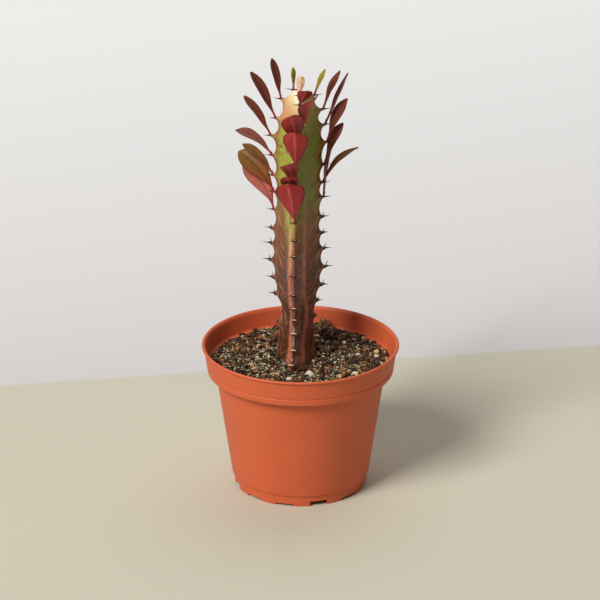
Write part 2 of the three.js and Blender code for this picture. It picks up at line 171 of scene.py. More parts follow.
FOOT_RADIUS = 36.8
FOOT_WIDTH = 1.5
STEP_HEIGHT = 6.8
STEP_RADIUS = 38.4
FLOOR_TOP = 5.5
BODY_TOP_RADIUS = 47.4
COLLAR_BOTTOM = 67.8
COLLAR_RADIUS = 51.8
COLLAR_TOP_RADIUS = 54
GROOVE_HEIGHT = 71.5
GROOVE_DEPTH = 0.45
GROOVE_HALF_WIDTH = 0.5
LEDGE_HEIGHT = 72.5
BEAD_HEIGHT = 1.6
MOULD_ROUNDING = 0.45
POT_STEPS = 240

# Every third notch of the foot ring is deep.
NOTCH_COUNT = 12
NOTCH_WIDTH = 9.8
DEEP_NOTCH = 3
SHALLOW_NOTCH = 1.4
FIRST_NOTCH_AZIMUTH = -74

DRAIN_COUNT = 8
DRAIN_RADIUS = 3
DRAIN_CIRCLE = 26

# ---------------------------------------------------------------------- shaping


def smoothstep(value, low, high):
    """Smooth change from 0 at low to 1 at high."""
    share = min(1.0, max(0.0, (value - low) / (high - low)))
    return share * share * (3 - 2 * share)


def lerp(start, end, share):
    """Straight-line blend of two numbers."""
    return start + (end - start) * share


def bell(offset, width):
    """A smooth hump of height 1 that fades out beyond a width."""
    return math.exp(-((offset / width) ** 2))


def along(pairs, position):
    """Straight-line interpolation in (position, value) pairs."""
    if position <= pairs[0][0]:
        return pairs[0][1]
    for before, after in zip(pairs, pairs[1:]):
        if position <= after[0]:
            return lerp(before[1], after[1], (position - before[0]) / (after[0] - before[0]))
    return pairs[-1][1]


def stem_axis(z):
    """The stem starts left of the pot's axis and leans right as it rises."""
    share = max(0.0, (z - SOIL_HEIGHT) / (STEM_TOP - SOIL_HEIGHT))
    return Vector((STEM_SHIFT + STEM_LEAN * share**LEAN_POWER, 0, z))


def twist(z):
    """Turn of the ribs about the stem, in degrees."""
    crown = CROWN_TWIST * bell(z - CROWN_TWIST_HEIGHT, CROWN_TWIST_SPREAD)
    return TWIST + crown + FOOT_TWIST * (1 - smoothstep(z, *FOOT_TWIST_ZONE))


def core_share(z):
    """Share of the reach that the solid core fills, more in the oldest part."""
    return lerp(BASE_CORE_SHARE, CORE_SHARE, smoothstep(z, *CORE_ZONE))


def outward(rib, z, swing=0.0):
    """Level direction away from the stem on a rib, or swung to its side."""
    angle = math.radians(rib["azimuth"] + twist(z) + swing)
    return Vector((math.cos(angle), math.sin(angle), 0))


def rib_knots(rib):
    """Heights of the rib's top, of its teeth and of its foot."""
    return (STEM_TOP - 0.5, *rib["teeth"], STEM_BOTTOM)


def rib_height(rib, place):
    """Height on a rib at a place counted in teeth from the crown."""
    knots = rib_knots(rib)
    at = min(max(place + 1, 0), len(knots) - 1)
    i = min(int(at), len(knots) - 2)
    return lerp(knots[i], knots[i + 1], at - i)


def rib_place(rib, z):
    """Place on a rib, counted in teeth from the crown, at a height."""
    knots = rib_knots(rib)
    for i, (upper, lower) in enumerate(zip(knots, knots[1:])):
        if z > lower and upper > lower:
            return i - 1 + (upper - z) / (upper - lower)
    return len(knots) - 2


def tooth_reach(rib, number):
    """Reach of one tooth from the stem's axis."""
    own = rib["extra"][number] if number < len(rib["extra"]) else 0
    return along(TOOTH_REACH, rib_height(rib, number)) + own


def rib_reach(rib, place):
    """Reach of the line through the tooth tips, closing in over the crown."""
    if place < 0:
        return tooth_reach(rib, 0) * max(0.0, 1 + place) ** CROWN_POWER
    tooth = math.floor(place)
    return lerp(tooth_reach(rib, tooth), tooth_reach(rib, math.ceil(place)), place - tooth)


def scallop(rib, place):
    """Depth of the scallop between two teeth, as a share of the reach."""
    if place < 0 or place > len(rib["teeth"]) - 1:
        return 0.0
    share = place - math.floor(place)
    young = smoothstep(rib_height(rib, place), *YOUNG_SCALLOP_ZONE)
    depth = SCALLOP_DEPTH + YOUNG_SCALLOP_DEPTH * young
    return depth * max(0.0, math.sin(math.pi * share**SCALLOP_SKEW)) ** 0.5


def rib_share(rib, place, degrees):
    """How far a rib still stands out at an angle away from its crest."""
    rounded = math.hypot(degrees, CREST_ROUNDING) - CREST_ROUNDING
    wing = math.exp(-((rounded / CREST_SPREAD) ** CREST_POWER))
    margin = bell(degrees, MARGIN_SPREAD)
    return wing - scallop(rib, place) * margin / (1 - CORE_SHARE)


def tooth_tip(rib, number, inset=0.0):
    """The point of a tooth, or a point that far inside it on the same level."""
    z = rib["teeth"][number]
    return stem_axis(z) + outward(rib, z) * (tooth_reach(rib, number) - inset)


# --------------------------------------------------------------- mesh and nodes


def linear(hex_colour):
    """Linear colour of an sRGB hex value such as 0xC8633F."""
    channels = [((hex_colour >> shift) & 255) / 255 for shift in (16, 8, 0)]
    return tuple(c / 12.92 if c <= 0.04045 else ((c + 0.055) / 1.055) ** 2.4 for c in channels)


def opaque(colour):
    """A colour with full alpha, for a node's colour socket."""
    return (*colour[:3], 1.0)


def per_mm(size):
    """Texture scale that gives features of this size in millimetres."""
    return 1 / (size * MM)


def add_node(tree, kind, inputs=None, stops=None, **settings):
    """Adds a node with its settings, then fills or links its inputs."""
    made = tree.nodes.new("ShaderNode" + kind)
    for name, value in settings.items():
        setattr(made, name, value)
    for socket, value in (inputs or {}).items():
        if isinstance(value, bpy.types.NodeSocket):
            tree.links.new(value, made.inputs[socket])
        else:
            made.inputs[socket].default_value = value
    if stops:
        elements = made.color_ramp.elements
        elements[0].position, elements[0].color = stops[0][0], opaque(linear(stops[0][1]))
        elements[1].position, elements[1].color = stops[-1][0], opaque(linear(stops[-1][1]))
        for position, colour in stops[1:-1]:
            elements.new(position).color = opaque(linear(colour))
    return made


# Sockets of a Mix node that mixes colours, and of one that mixes numbers.
MIX_FACTOR, MIX_FIRST, MIX_SECOND, MIX_RESULT = 0, 6, 7, 2
MIX_FIRST_NUMBER, MIX_SECOND_NUMBER = 2, 3

# Points closer together than this, in metres, are merged.
MERGE_DISTANCE = 2e-6

# A corner of a profile that is flatter than this, in degrees, stays as it is, and
# no curve takes up more than this share of the line beside it.
FLAT_CORNER = 172
CURVE_SHARE = 0.45


def new_material(name, roughness, ior):
    """An empty material with a principled shader joined to its output."""
    material = bpy.data.materials.new(name)
    material.use_nodes = True
    tree = material.node_tree
    tree.nodes.clear()
    shader = add_node(tree, "BsdfPrincipled", {"Roughness": roughness, "IOR": ior})
    add_node(tree, "OutputMaterial", {"Surface": shader.outputs[0]})
    return material, tree, shader


def deselect():
    """Leaves nothing selected, so that an operator acts on new pieces alone."""
    bpy.ops.object.select_all(action="DESELECT")


def settle(piece, name, material, node, smooth=None):
    """Names a finished piece, gives it its material and ties it to the frame."""
    deselect()
    piece.select_set(True)
    bpy.context.view_layer.objects.active = piece
    bpy.ops.object.transform_apply(location=True, rotation=True, scale=True)
    if smooth is None:
        bpy.ops.object.shade_flat()
    else:
        bpy.ops.object.shade_smooth_by_angle(angle=math.radians(smooth))
    piece.name = name
    piece.data.name = name
    piece.data.materials.clear()
    piece.data.materials.append(material)
    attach(piece, "root")
    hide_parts(node)
    return piece


def rolled(rings, layers=None):
    """A closed skin over rings of points, given from one end to the other.

    A grid is added, its rows are rolled into the rings and the seam and the two
    ends are closed. Layers are named colours for the points, kept as attributes.
    """
    deselect()
    around, rows = len(rings[0]), len(rings) - 1
    bpy.ops.mesh.primitive_grid_add(x_subdivisions=around, y_subdivisions=rows, size=1)
    piece = bpy.context.object
    colours = {name: [] for name in layers or {}}
    for vertex in piece.data.vertices:
        row = round((vertex.co.y + 0.5) * rows)
        place = round((vertex.co.x + 0.5) * around) % around
        vertex.co = rings[row][place] * MM
        for name in colours:
            colours[name].extend(layers[name][row][place])
    for name, values in colours.items():
        layer = piece.data.attributes.new(name, "FLOAT_COLOR", "POINT")
        layer.data.foreach_set("color", values)
    bpy.ops.object.mode_set(mode="EDIT")
    bpy.ops.mesh.select_all(action="SELECT")
    bpy.ops.mesh.remove_doubles(threshold=MERGE_DISTANCE)
    bpy.ops.mesh.fill_holes(sides=0)
    bpy.ops.mesh.select_all(action="SELECT")
    bpy.ops.mesh.normals_make_consistent(inside=False)
    bpy.ops.object.mode_set(mode="OBJECT")
    return piece


def softened(profile, radius):
    """The profile's points with each corner replaced by a short curve."""
    softer = [profile[0]]
    for before, corner, after in zip(profile, profile[1:], profile[2:]):
        start, end = before - corner, after - corner
        if start.angle(end) > math.radians(FLAT_CORNER):
            softer.append(corner)
            continue
        reach = min(radius, CURVE_SHARE * start.length, CURVE_SHARE * end.length)
        first = corner + start.normalized() * reach
        last = corner + end.normalized() * reach
        for share in (0, 0.25, 0.5, 0.75, 1):
            softer.append(first.lerp(corner, share).lerp(corner.lerp(last, share), share))
    softer.append(profile[-1])
    return softer


def spun(profile, steps):
    """A turned body: the profile is drawn by extruding a point, then spun."""
    deselect()
    bpy.ops.mesh.primitive_plane_add(size=MM)
    piece = bpy.context.object
    bpy.ops.object.mode_set(mode="EDIT")
    bpy.ops.mesh.select_all(action="SELECT")
    bpy.ops.mesh.merge(type="CENTER")
    bpy.ops.transform.translate(value=profile[0] * MM)
    for before, after in zip(profile, profile[1:]):
        bpy.ops.mesh.extrude_vertices_move(TRANSFORM_OT_translate={"value": (after - before) * MM})
    bpy.ops.mesh.select_all(action="SELECT")
    bpy.ops.mesh.spin(steps=steps, angle=2 * math.pi, center=(0, 0, 0), axis=(0, 0, 1))
    bpy.ops.mesh.select_all(action="SELECT")
    bpy.ops.mesh.remove_doubles(threshold=MERGE_DISTANCE)
    bpy.ops.mesh.normals_make_consistent(inside=False)
    bpy.ops.object.mode_set(mode="OBJECT")
    return piece


def cut_away(piece, cutters):
    """Cuts a list of closed bodies out of a piece."""
    deselect()
    for cutter in cutters:
        cutter.select_set(True)
    bpy.context.view_layer.objects.active = cutters[0]
    bpy.ops.object.join()
    tool = bpy.context.object
    deselect()
    piece.select_set(True)
    bpy.context.view_layer.objects.active = piece
    cut = piece.modifiers.new("cut", "BOOLEAN")
    cut.operation = "DIFFERENCE"
    cut.solver = "EXACT"
    cut.object = tool
    bpy.ops.object.modifier_apply(modifier=cut.name)
    bpy.data.objects.remove(tool)


def pebble(seed, subdivisions=1, rough=0.28):
    """A small rough lump of unit size, to be copied. Its few faces keep a piece
    of thousands of lumps light."""
    deselect()
    bpy.ops.mesh.primitive_ico_sphere_add(subdivisions=subdivisions, radius=0.5)
    lump = bpy.context.object
    bpy.ops.object.mode_set(mode="EDIT")
    bpy.ops.mesh.select_all(action="SELECT")
    bpy.ops.transform.vertex_random(offset=rough / 2, uniform=0.6, normal=0.4, seed=seed)
    bpy.ops.object.mode_set(mode="OBJECT")
    return lump


def strewn(templates, placements):
    """Copies of the templates, each with its own mesh, joined to one piece.

    A placement is the template's number, the matrix in millimetres and a tone
    from 0 to 1 that the material reads.
    """
    copies = []
    for number, matrix, tone in placements:
        copy = templates[number].copy()
        copy.data = templates[number].data.copy()
        copy.matrix_world = Matrix.Scale(MM, 4) @ matrix
        if "tone" not in copy.data.attributes:
            layer = copy.data.attributes.new("tone", "FLOAT_COLOR", "POINT")
            layer.data.foreach_set("color", (tone, tone, tone, 1.0) * len(copy.data.vertices))
        bpy.context.collection.objects.link(copy)
        copies.append(copy)
    for template in templates:
        bpy.data.objects.remove(template)
    deselect()
    for copy in copies:
        copy.select_set(True)
    bpy.context.view_layer.objects.active = copies[0]
    bpy.ops.object.join()
    return bpy.context.object


# --------------------------------------------------------------------- settings


def length_property(name, description, millimetres):
    """A size in metres with the default given in millimetres."""
    return FloatProperty(
        name=name,
        description=description,
        default=millimetres * MM,
        min=0,
        unit="LENGTH",
        subtype="DISTANCE",
    )


def colour_property(name, description, hex_colour):
    """A colour with its default given as an sRGB hex value."""
    return FloatVectorProperty(
        name=name,
        description=description,
        default=linear(hex_colour),
        min=0,
        max=1,
        size=3,
        subtype="COLOR",
    )


def power_property(name, description, watts):
    """The power of a light, in watts."""
    return FloatProperty(name=name, description=description, default=watts, unit="POWER")


class NurseryPotSettings(bpy.types.PropertyGroup):
    """Sizes and colour of the moulded pot."""

    height: length_property("Height", "Height of the pot over its foot", POT_HEIGHT)
    rim_radius: length_property("Rim radius", "Outer radius of the bead at the rim", RIM_RADIUS)
    wall: length_property("Wall", "Thickness of the moulded wall", WALL)
    notch_width: length_property("Notch width", "Width of the notches in the foot ring", NOTCH_WIDTH)
    plastic: colour_property("Plastic", "Colour of the moulded plastic", 0xD8653D)


class PottingMixSettings(bpy.types.PropertyGroup):
    """Make-up of the potting mix."""

    crumbs: IntProperty(name="Crumbs", description="Loose crumbs of peat", default=4300, min=1)
    flecks: IntProperty(name="Flecks", description="Pale grit and moss flecks", default=4200, min=1)
    fibres: IntProperty(name="Fibres", description="Bits of root and coir", default=260, min=1)
    peat: colour_property("Peat", "Colour of the damp peat", 0x482C1C)
    perlite: colour_property("Perlite", "Colour of the expanded grains", 0xE6DCC4)


class StemSettings(bpy.types.PropertyGroup):
    """Colours of the stem's skin."""

    # Partly the skin's own yellower green, partly painted light: this green goes on young skin that faces the
    # key light.
    key_lit: colour_property("Sunny green", "Young skin on the face towards the light", 0xA4A93C)
    green: colour_property("Green", "Young skin on the other faces", 0x747E1F)
    margin: colour_property("Margin", "Broad brown margin of the young ribs", 0x86502C)
    brown: colour_property("Brown", "Skin of the older lower faces", 0x5E3A1F)
    # Painted shade: the mauve goes only on the front rib's shaded flank, for the look of its pink-brown skin
    # in shade.
    mauve: colour_property("Mauve", "Old skin beside the front rib's edge", 0x7F5B57)
    blush: colour_property("Blush", "Veins and the band along the foot of a rib", 0xC07458)
    crest: colour_property("Crest", "Red line along the edge of each rib", 0xA8383A)
    worn: colour_property("Worn edge", "Corky line along the oldest edges", 0xA9A68A)
    # Also painted along the shaded side of the side ribs' old crests, as painted shade.
    tooth: colour_property("Tooth", "Hardened skin at the tip of each tooth", 0x59241F)
    # Gold: partly the young front edge's own colour, partly a painted highlight along its crest; also painted
    # on shaded faces as painted light.
    gold: colour_property("Gold", "Line along the young edge of the front rib", 0xC7A05A)
    crown: colour_property("Crown", "Pale new growth at the crown", 0xE2C890)
    peach: colour_property("Peach", "Flush under the new growth", 0xD3966A)
    cream: colour_property("Cream", "Palest growth at the very tip", 0xFFF6DC)


class LeafSettings(bpy.types.PropertyGroup):
    """Sizes and colours of the leaves."""

    thickness: length_property("Thickness", "Thickness of the blade at its midrib", 0.8)
    fold: FloatProperty(
        name="Fold",
        description="Rise of each half of the blade from the midrib",
        default=math.radians(15),
        unit="ROTATION",
        subtype="ANGLE",
    )
    wine: colour_property("Wine", "Upper face of a grown leaf", 0x7A402C)
    crimson: colour_property("Crimson", "Lower face of a grown leaf", 0xB8373C)
    petiole: colour_property("Petiole", "The red stalk of each leaf", 0xA02A32)


class SpineSettings(bpy.types.PropertyGroup):
    """Sizes of the spines."""

    length: length_property("Length", "Length of a spine from inside the tooth", 5.4)
    radius: length_property("Radius", "Radius of a spine at its foot", 0.4)
    shield: length_property("Shield", "Length of the horny beak on each tooth", 3.3)


class StudioSettings(bpy.types.PropertyGroup):
    """Camera, lights and floor."""

    lens: FloatProperty(
        name="Lens", description="Focal length of the camera", default=216.7, unit="CAMERA"
    )
    key_power: power_property("Key light", "Power of the soft key light", 352)
    back_power: power_property("Back light", "Power of the broad light above and behind", 30)
    floor: colour_property("Table", "Colour of the pale table", 0xCDC9B7)
    backdrop: colour_property("Backdrop", "Colour beyond the table's edge", 0xF3F4F5)


# -------------------------------------------------------------------------- pot


def body_radius(z):
    """Outer radius of the pot's body."""
    slope = (BODY_TOP_RADIUS - STEP_RADIUS) / (COLLAR_BOTTOM - STEP_HEIGHT)
    return STEP_RADIUS + slope * (z - STEP_HEIGHT)


def collar_radius(z):
    """Outer radius of the deep collar."""
    slope = (COLLAR_TOP_RADIUS - COLLAR_RADIUS) / (POT_HEIGHT - COLLAR_BOTTOM)
    return COLLAR_RADIUS + slope * (z - COLLAR_BOTTOM)


def pot_profile(rim, top, wall):
    """Half section of the pot, from the axis under the floor round to its top."""
    under, bead, inner_step = LEDGE_HEIGHT - wall, top - BEAD_HEIGHT, STEP_HEIGHT + wall
    groove_low, groove_high = GROOVE_HEIGHT - GROOVE_HALF_WIDTH, GROOVE_HEIGHT + GROOVE_HALF_WIDTH
    corners = (
        # Under the floor, and the foot ring with the step above it.
        (0, FLOOR_TOP - wall),
        (FOOT_RADIUS - FOOT_WIDTH, FLOOR_TOP - wall),
        (FOOT_RADIUS - FOOT_WIDTH, 0),
        (FOOT_RADIUS, 0),
        (FOOT_RADIUS + 0.7, STEP_HEIGHT - 0.6),
        (STEP_RADIUS, STEP_HEIGHT),
        # Up the body, under the ledge and down behind the collar.
        (body_radius(under), under),
        (collar_radius(under) - wall, under),
        (COLLAR_RADIUS - wall, COLLAR_BOTTOM),
        # Up the collar with its groove.
        (COLLAR_RADIUS, COLLAR_BOTTOM),
        (collar_radius(groove_low), groove_low),
        (collar_radius(GROOVE_HEIGHT) - GROOVE_DEPTH, GROOVE_HEIGHT),
        (collar_radius(groove_high), groove_high),
        (collar_radius(bead), bead),
        # Round the bead of the rim.
        (rim - 0.2, bead + 0.4),
        (rim, bead + 0.9),
        (rim - 0.4, top - 0.2),
        (rim - 1, top),
        (rim - 1.7, top - 0.3),
        (collar_radius(bead) - wall, bead),
        # Down inside, over the ledge, to the floor.
        (collar_radius(LEDGE_HEIGHT) - wall, LEDGE_HEIGHT + 0.6),
        (collar_radius(LEDGE_HEIGHT) - wall - 0.5, LEDGE_HEIGHT),
        (body_radius(LEDGE_HEIGHT) - wall + 0.5, LEDGE_HEIGHT),
        (body_radius(LEDGE_HEIGHT) - wall, LEDGE_HEIGHT - 0.5),
        (body_radius(inner_step) - wall, inner_step),
        (body_radius(inner_step) - wall - 1.1, FLOOR_TOP + 0.7),
        (body_radius(inner_step) - wall - 2.5, FLOOR_TOP),
        (0, FLOOR_TOP),
    )
    return softened([Vector((r, 0, z)) for r, z in corners], MOULD_ROUNDING)


def moulded_polypropylene(colour):
    """Injection-moulded polypropylene: a satin skin with a fine spark-eroded
    grain, faint flow rings from the mould, slightly cloudy colour and a few
    chalky specks of lime."""
    material, tree, shader = new_material("moulded_polypropylene", 0.5, 1.49)
    shader.inputs["Specular IOR Level"].default_value = 0.36
    coords = add_node(tree, "TexCoord").outputs["Object"]
    rings = add_node(tree, "Mapping", {"Vector": coords, "Scale": (0.12, 0.12, 1.0)}).outputs[0]
    cloud, flow, speck, grain = [
        add_node(tree, "TexNoise", {"Vector": at, "Scale": per_mm(size), "Detail": detail}).outputs[0]
        for at, size, detail in (
            (coords, 22, 3.0), (rings, 2.2, 2.0), (coords, 0.9, 2.0), (coords, 0.45, 2.0)
        )
    ]
    chalk = add_node(
        tree, "MapRange", {"Value": speck, "From Min": 0.66, "From Max": 0.8, "To Max": 0.14}
    ).outputs[0]
    painted = opaque(tuple(0.86 * c for c in colour))
    for share, over in ((cloud, colour), (chalk, linear(0xDC9A7A))):
        painted = add_node(
            tree,
            "Mix",
            {MIX_FACTOR: share, MIX_FIRST: painted, MIX_SECOND: opaque(over)},
            data_type="RGBA",
        ).outputs[MIX_RESULT]
    tree.links.new(painted, shader.inputs["Base Color"])
    uneven = add_node(tree, "MapRange", {"Value": cloud, "To Min": 0.46, "To Max": 0.6}).outputs[0]
    tree.links.new(uneven, shader.inputs["Roughness"])
    height = add_node(tree, "Math", {0: grain, 1: flow}, operation="ADD").outputs[0]
    bump = add_node(tree, "Bump", {"Strength": 0.25, "Distance": 0.05 * MM, "Height": height})
    tree.links.new(bump.outputs[0], shader.inputs["Normal"])
    return material


class EUPHORBIA_OT_nursery_pot(bpy.types.Operator):
    """Builds the moulded nursery pot"""

    bl_idname = "euphorbia.nursery_pot"
    bl_label = "Nursery Pot"

    def execute(self, context):
        settings = context.scene.nursery_pot
        rim, top, wall = settings.rim_radius / MM, settings.height / MM, settings.wall / MM
        pot = spun(pot_profile(rim, top, wall), POT_STEPS)
        cutters = []
        for i in range(NOTCH_COUNT):
            depth = SHALLOW_NOTCH if i % 3 else DEEP_NOTCH
            angle = math.radians(FIRST_NOTCH_AZIMUTH - 90 + i * 360 / NOTCH_COUNT)
            aim = Vector((math.cos(angle), math.sin(angle), 0))
            deselect()
            bpy.ops.mesh.primitive_cube_add(
                size=1,
                location=aim * (FOOT_RADIUS - FOOT_WIDTH / 2) * MM,
                rotation=(0, 0, angle),
                scale=(3 * FOOT_WIDTH * MM, settings.notch_width, 2 * depth * MM),
            )
            cutters.append(context.object)
        for i in range(DRAIN_COUNT):
            angle = math.radians(i * 360 / DRAIN_COUNT - 90)
            x, y = DRAIN_CIRCLE * math.cos(angle), DRAIN_CIRCLE * math.sin(angle)
            deselect()
            bpy.ops.mesh.primitive_cylinder_add(
                vertices=32,
                radius=DRAIN_RADIUS * MM,
                depth=4 * wall * MM,
                location=(x * MM, y * MM, (FLOOR_TOP - wall / 2) * MM),
            )
            cutters.append(context.object)
        cut_away(pot, cutters)
        settle(pot, "nursery_pot", moulded_polypropylene(settings.plastic), "pot", 32)
        return {"FINISHED"}


# ------------------------------------------------------------------ potting mix

SOIL_RELIEF = 1.2
SPILL_RADIUS = 50.4
FIT_GAP = 0.3
MIX_AROUND, MIX_ROWS = 330, 92

# The mix is pressed down in front of the stem, as (x, y), depth and spread.
PRESSED_AT, PRESSED_DEPTH, PRESSED_SPREAD = (-2.5, -15.5), 2.6, 8

# A hollow at the left and a clump of fibres at the back.
HOLLOW, HOLLOW_DEPTH, HOLLOW_SPREAD = Vector((-28.5, -15, 0)), 2.6, 4.5
FIBRE_CLUMP, CLUMP_HEIGHT, CLUMP_SPREAD = Vector((13, 46, 0)), 2.5, 4

# Over the ledge the mix keeps this depth. Further in, between these two radii,
# that gives way, and its hollows may lie deeper than the ledge.
LEDGE_COVER = 0.15
DEEPEST_HOLLOW, DEEP_RADIUS, LEDGE_RADIUS = 6, 41, 46

# How near the middle of the stem the loose bits come.
STEM_CLEARANCE = 5.5

# Where the pale flecks lie thickest, as (x, y, spread), and how many of those
# that are drawn anywhere else stay.
FLECK_PATCHES = (
    (-20, -2, 11), (-33, -12, 9), (-16, 12, 8), (-13, -24, 8), (24, -14, 11), (6, -30, 9),
    (-38, 6, 6), (34, 10, 6), (20, 4, 8), (-17, 37, 5), (-11, -10, 5),
)
STRAY_FLECKS = 0.09

# Perlite grains that lie on top, as (x, y, size), and how many more are strewn.
PERLITE = (
    (5, -22.5, 4.9), (-6.3, -28.6, 3.8), (30.1, -19.4, 3.6), (44.8, -5.1, 2.4),
    (42.4, 2.6, 3.7), (37.2, 27.2, 2.2), (24.6, 21.5, 2.6), (32.3, 6.3, 2.7),
    (-17.4, -2.1, 1.9), (-37.3, -11, 2), (-25.8, 31.6, 1.7),
)
STRAY_PERLITE = 6

# Bark chips among the crumbs, crumbs heaped on the clump, and one fibre in so
# many that stands up in it.
BARK_CHIPS = 46
HEAPED_CRUMBS = 150
STANDING_FIBRE = 9

# Seeds of the shapes that the crumbs, flecks and grains are copied from.
CRUMB_SHAPES = range(1, 6)
FLECK_SHAPES = range(31, 35)
PERLITE_SHAPES = range(41, 44)


def inner_radius(z):
    """Inner radius of the pot's body."""
    return body_radius(z) - WALL


def soil_relief(x, y):
    """Broad lumps of the surface, higher at the back and on the left."""
    aside = math.hypot(x - PRESSED_AT[0], y - PRESSED_AT[1])
    slope = 0.035 * y - 0.03 * x - PRESSED_DEPTH * bell(aside, PRESSED_SPREAD)
    lumps = math.sin(0.31 * x + 0.6) * math.cos(0.27 * y) + 0.7 * math.sin(0.53 * y + 0.22 * x)
    inside = 1 - smoothstep(math.hypot(x, y), 40, 50)
    return SOIL_RELIEF * inside * (slope + lumps)


def soil_height(x, y):
    """Height of the surface with its clods of 6 and 2.8 mm, crumbs of 1.9 mm,
    hollow and fibre clump. It thins out to the bare ledge at the back."""
    inside = 1 - 0.75 * smoothstep(math.hypot(x, y), 43, 50)
    clods = 2.2 * noise.noise(Vector((x / 6, y / 6, 0.3)))
    clods += 1.5 * noise.noise(Vector((x / 2.8, y / 2.8, 4.1)))
    crumbs = 0.55 - 0.9 * noise.voronoi(Vector((x / 1.9, y / 1.9, 0)))[0][0]
    here = Vector((x, y, 0))
    hollow = HOLLOW_DEPTH * bell((here - HOLLOW).length, HOLLOW_SPREAD)
    clump = CLUMP_HEIGHT * bell((here - FIBRE_CLUMP).length, CLUMP_SPREAD)
    radius = max(1.0, math.hypot(x, y))
    back = smoothstep(y / radius, 0.1, 0.4) * smoothstep(radius, 37, 45)
    rough = inside * (1 - 0.85 * back) * (clods + crumbs - hollow)
    level = SOIL_HEIGHT + lerp(0.6, -0.2, back) + (1 - 0.7 * back) * soil_relief(x, y)
    return level + rough + clump


def spill(x, y):
    """Draws the edge in at the back, where the mix leaves the ledge bare."""
    radius = math.hypot(x, y)
    lip = inner_radius(LEDGE_HEIGHT) + 1
    if radius <= lip:
        return 1.0
    ragged = 0.35 * noise.noise(Vector((x / 4, y / 4, 9.7)))
    forward = smoothstep(-y / radius + ragged, -0.55, 0.05)
    return (lip + 0.3 + (radius - lip - 0.3) * forward) / radius


def peat_mix(peat):
    """Damp peat and composted bark: matt, crumbly, nearly black in the gaps,
    with lighter brown crumbs and a few straw-coloured bits."""
    material, tree, shader = new_material("peat_and_bark_mix", 0.95, 1.4)
    coords = add_node(tree, "TexCoord").outputs["Object"]
    cells = add_node(tree, "TexVoronoi", {"Vector": coords, "Scale": per_mm(1.1), "Randomness": 1.0})
    parts = add_node(tree, "SeparateColor", {"Color": cells.outputs["Color"]})
    stops = ((0, 0x140B07), (0.45, 0x301B11), (0.72, 0x56341F), (0.88, 0x7C5433), (1, 0xA98C60))
    crumbs = add_node(tree, "ValToRGB", {"Fac": parts.outputs[0]}, stops=stops).outputs[0]
    damp = add_node(tree, "TexNoise", {"Vector": coords, "Scale": per_mm(7), "Detail": 4.0}).outputs[0]
    patch = add_node(
        tree, "MapRange", {"Value": damp, "From Min": 0.4, "From Max": 0.62, "To Max": 0.25}
    ).outputs[0]
    mixed = add_node(
        tree,
        "Mix",
        {MIX_FACTOR: patch, MIX_FIRST: crumbs, MIX_SECOND: opaque(peat)},
        data_type="RGBA",
    )
    tree.links.new(mixed.outputs[MIX_RESULT], shader.inputs["Base Color"])
    fine = add_node(tree, "TexNoise", {"Vector": coords, "Scale": per_mm(0.8), "Detail": 6.0}).outputs[0]
    bump = add_node(tree, "Bump", {"Strength": 0.8, "Distance": 0.4 * MM, "Height": fine})
    tree.links.new(bump.outputs[0], shader.inputs["Normal"])
    return material


def toned(name, stops, roughness, grain):
    """A matt natural matter of small pieces that differ in tone. The grain is the
    size in millimetres of the mottling on each piece."""
    material, tree, shader = new_material(name, roughness, 1.5)
    tone = add_node(tree, "Attribute", attribute_name="tone").outputs["Fac"]
    coords = add_node(tree, "TexCoord").outputs["Object"]
    mottle = add_node(tree, "TexNoise", {"Vector": coords, "Scale": per_mm(grain), "Detail": 4.0}).outputs[0]
    shift = add_node(
        tree,
        "MapRange",
        {"Value": mottle, "From Min": 0.3, "From Max": 0.7, "To Min": -0.14, "To Max": 0.14},
    )
    level = add_node(tree, "Math", {0: tone, 1: shift.outputs[0]}, operation="ADD").outputs[0]
    colour = add_node(tree, "ValToRGB", {"Fac": level}, stops=stops).outputs[0]
    tree.links.new(colour, shader.inputs["Base Color"])
    bump = add_node(tree, "Bump", {"Strength": 0.6, "Distance": 0.3 * grain * MM, "Height": mottle})
    tree.links.new(bump.outputs[0], shader.inputs["Normal"])
    return material


def lying(x, y, size, stretch, random_source, sink=0.15):
    """Matrix of a lump that lies on the mix, turned and tilted at random, and
    sunk into it by a share of its height."""
    turn = Matrix.Rotation(random_source.uniform(0, 2 * math.pi), 4, "Z")
    tilt = Matrix.Rotation(random_source.uniform(-0.6, 0.6), 4, "X")
    place = Matrix.Translation((x, y, soil_height(x, y) + size * stretch[2] * (0.5 - sink)))
    return place @ turn @ tilt @ Matrix.Diagonal((*(size * s for s in stretch), 1))


def spot(random_source, outer=49.0):
    """A random place on the mix, clear of the stem and of the bare ledge."""
    while True:
        radius = outer * math.sqrt(random_source.random())
        angle = 2 * math.pi * random_source.random()
        x, y = radius * math.cos(angle), radius * math.sin(angle)
        near_stem = math.hypot(x - STEM_SHIFT, y) < STEM_CLEARANCE
        if not near_stem and radius < SPILL_RADIUS * spill(1.02 * x, 1.02 * y) - 1.1:
            return x, y


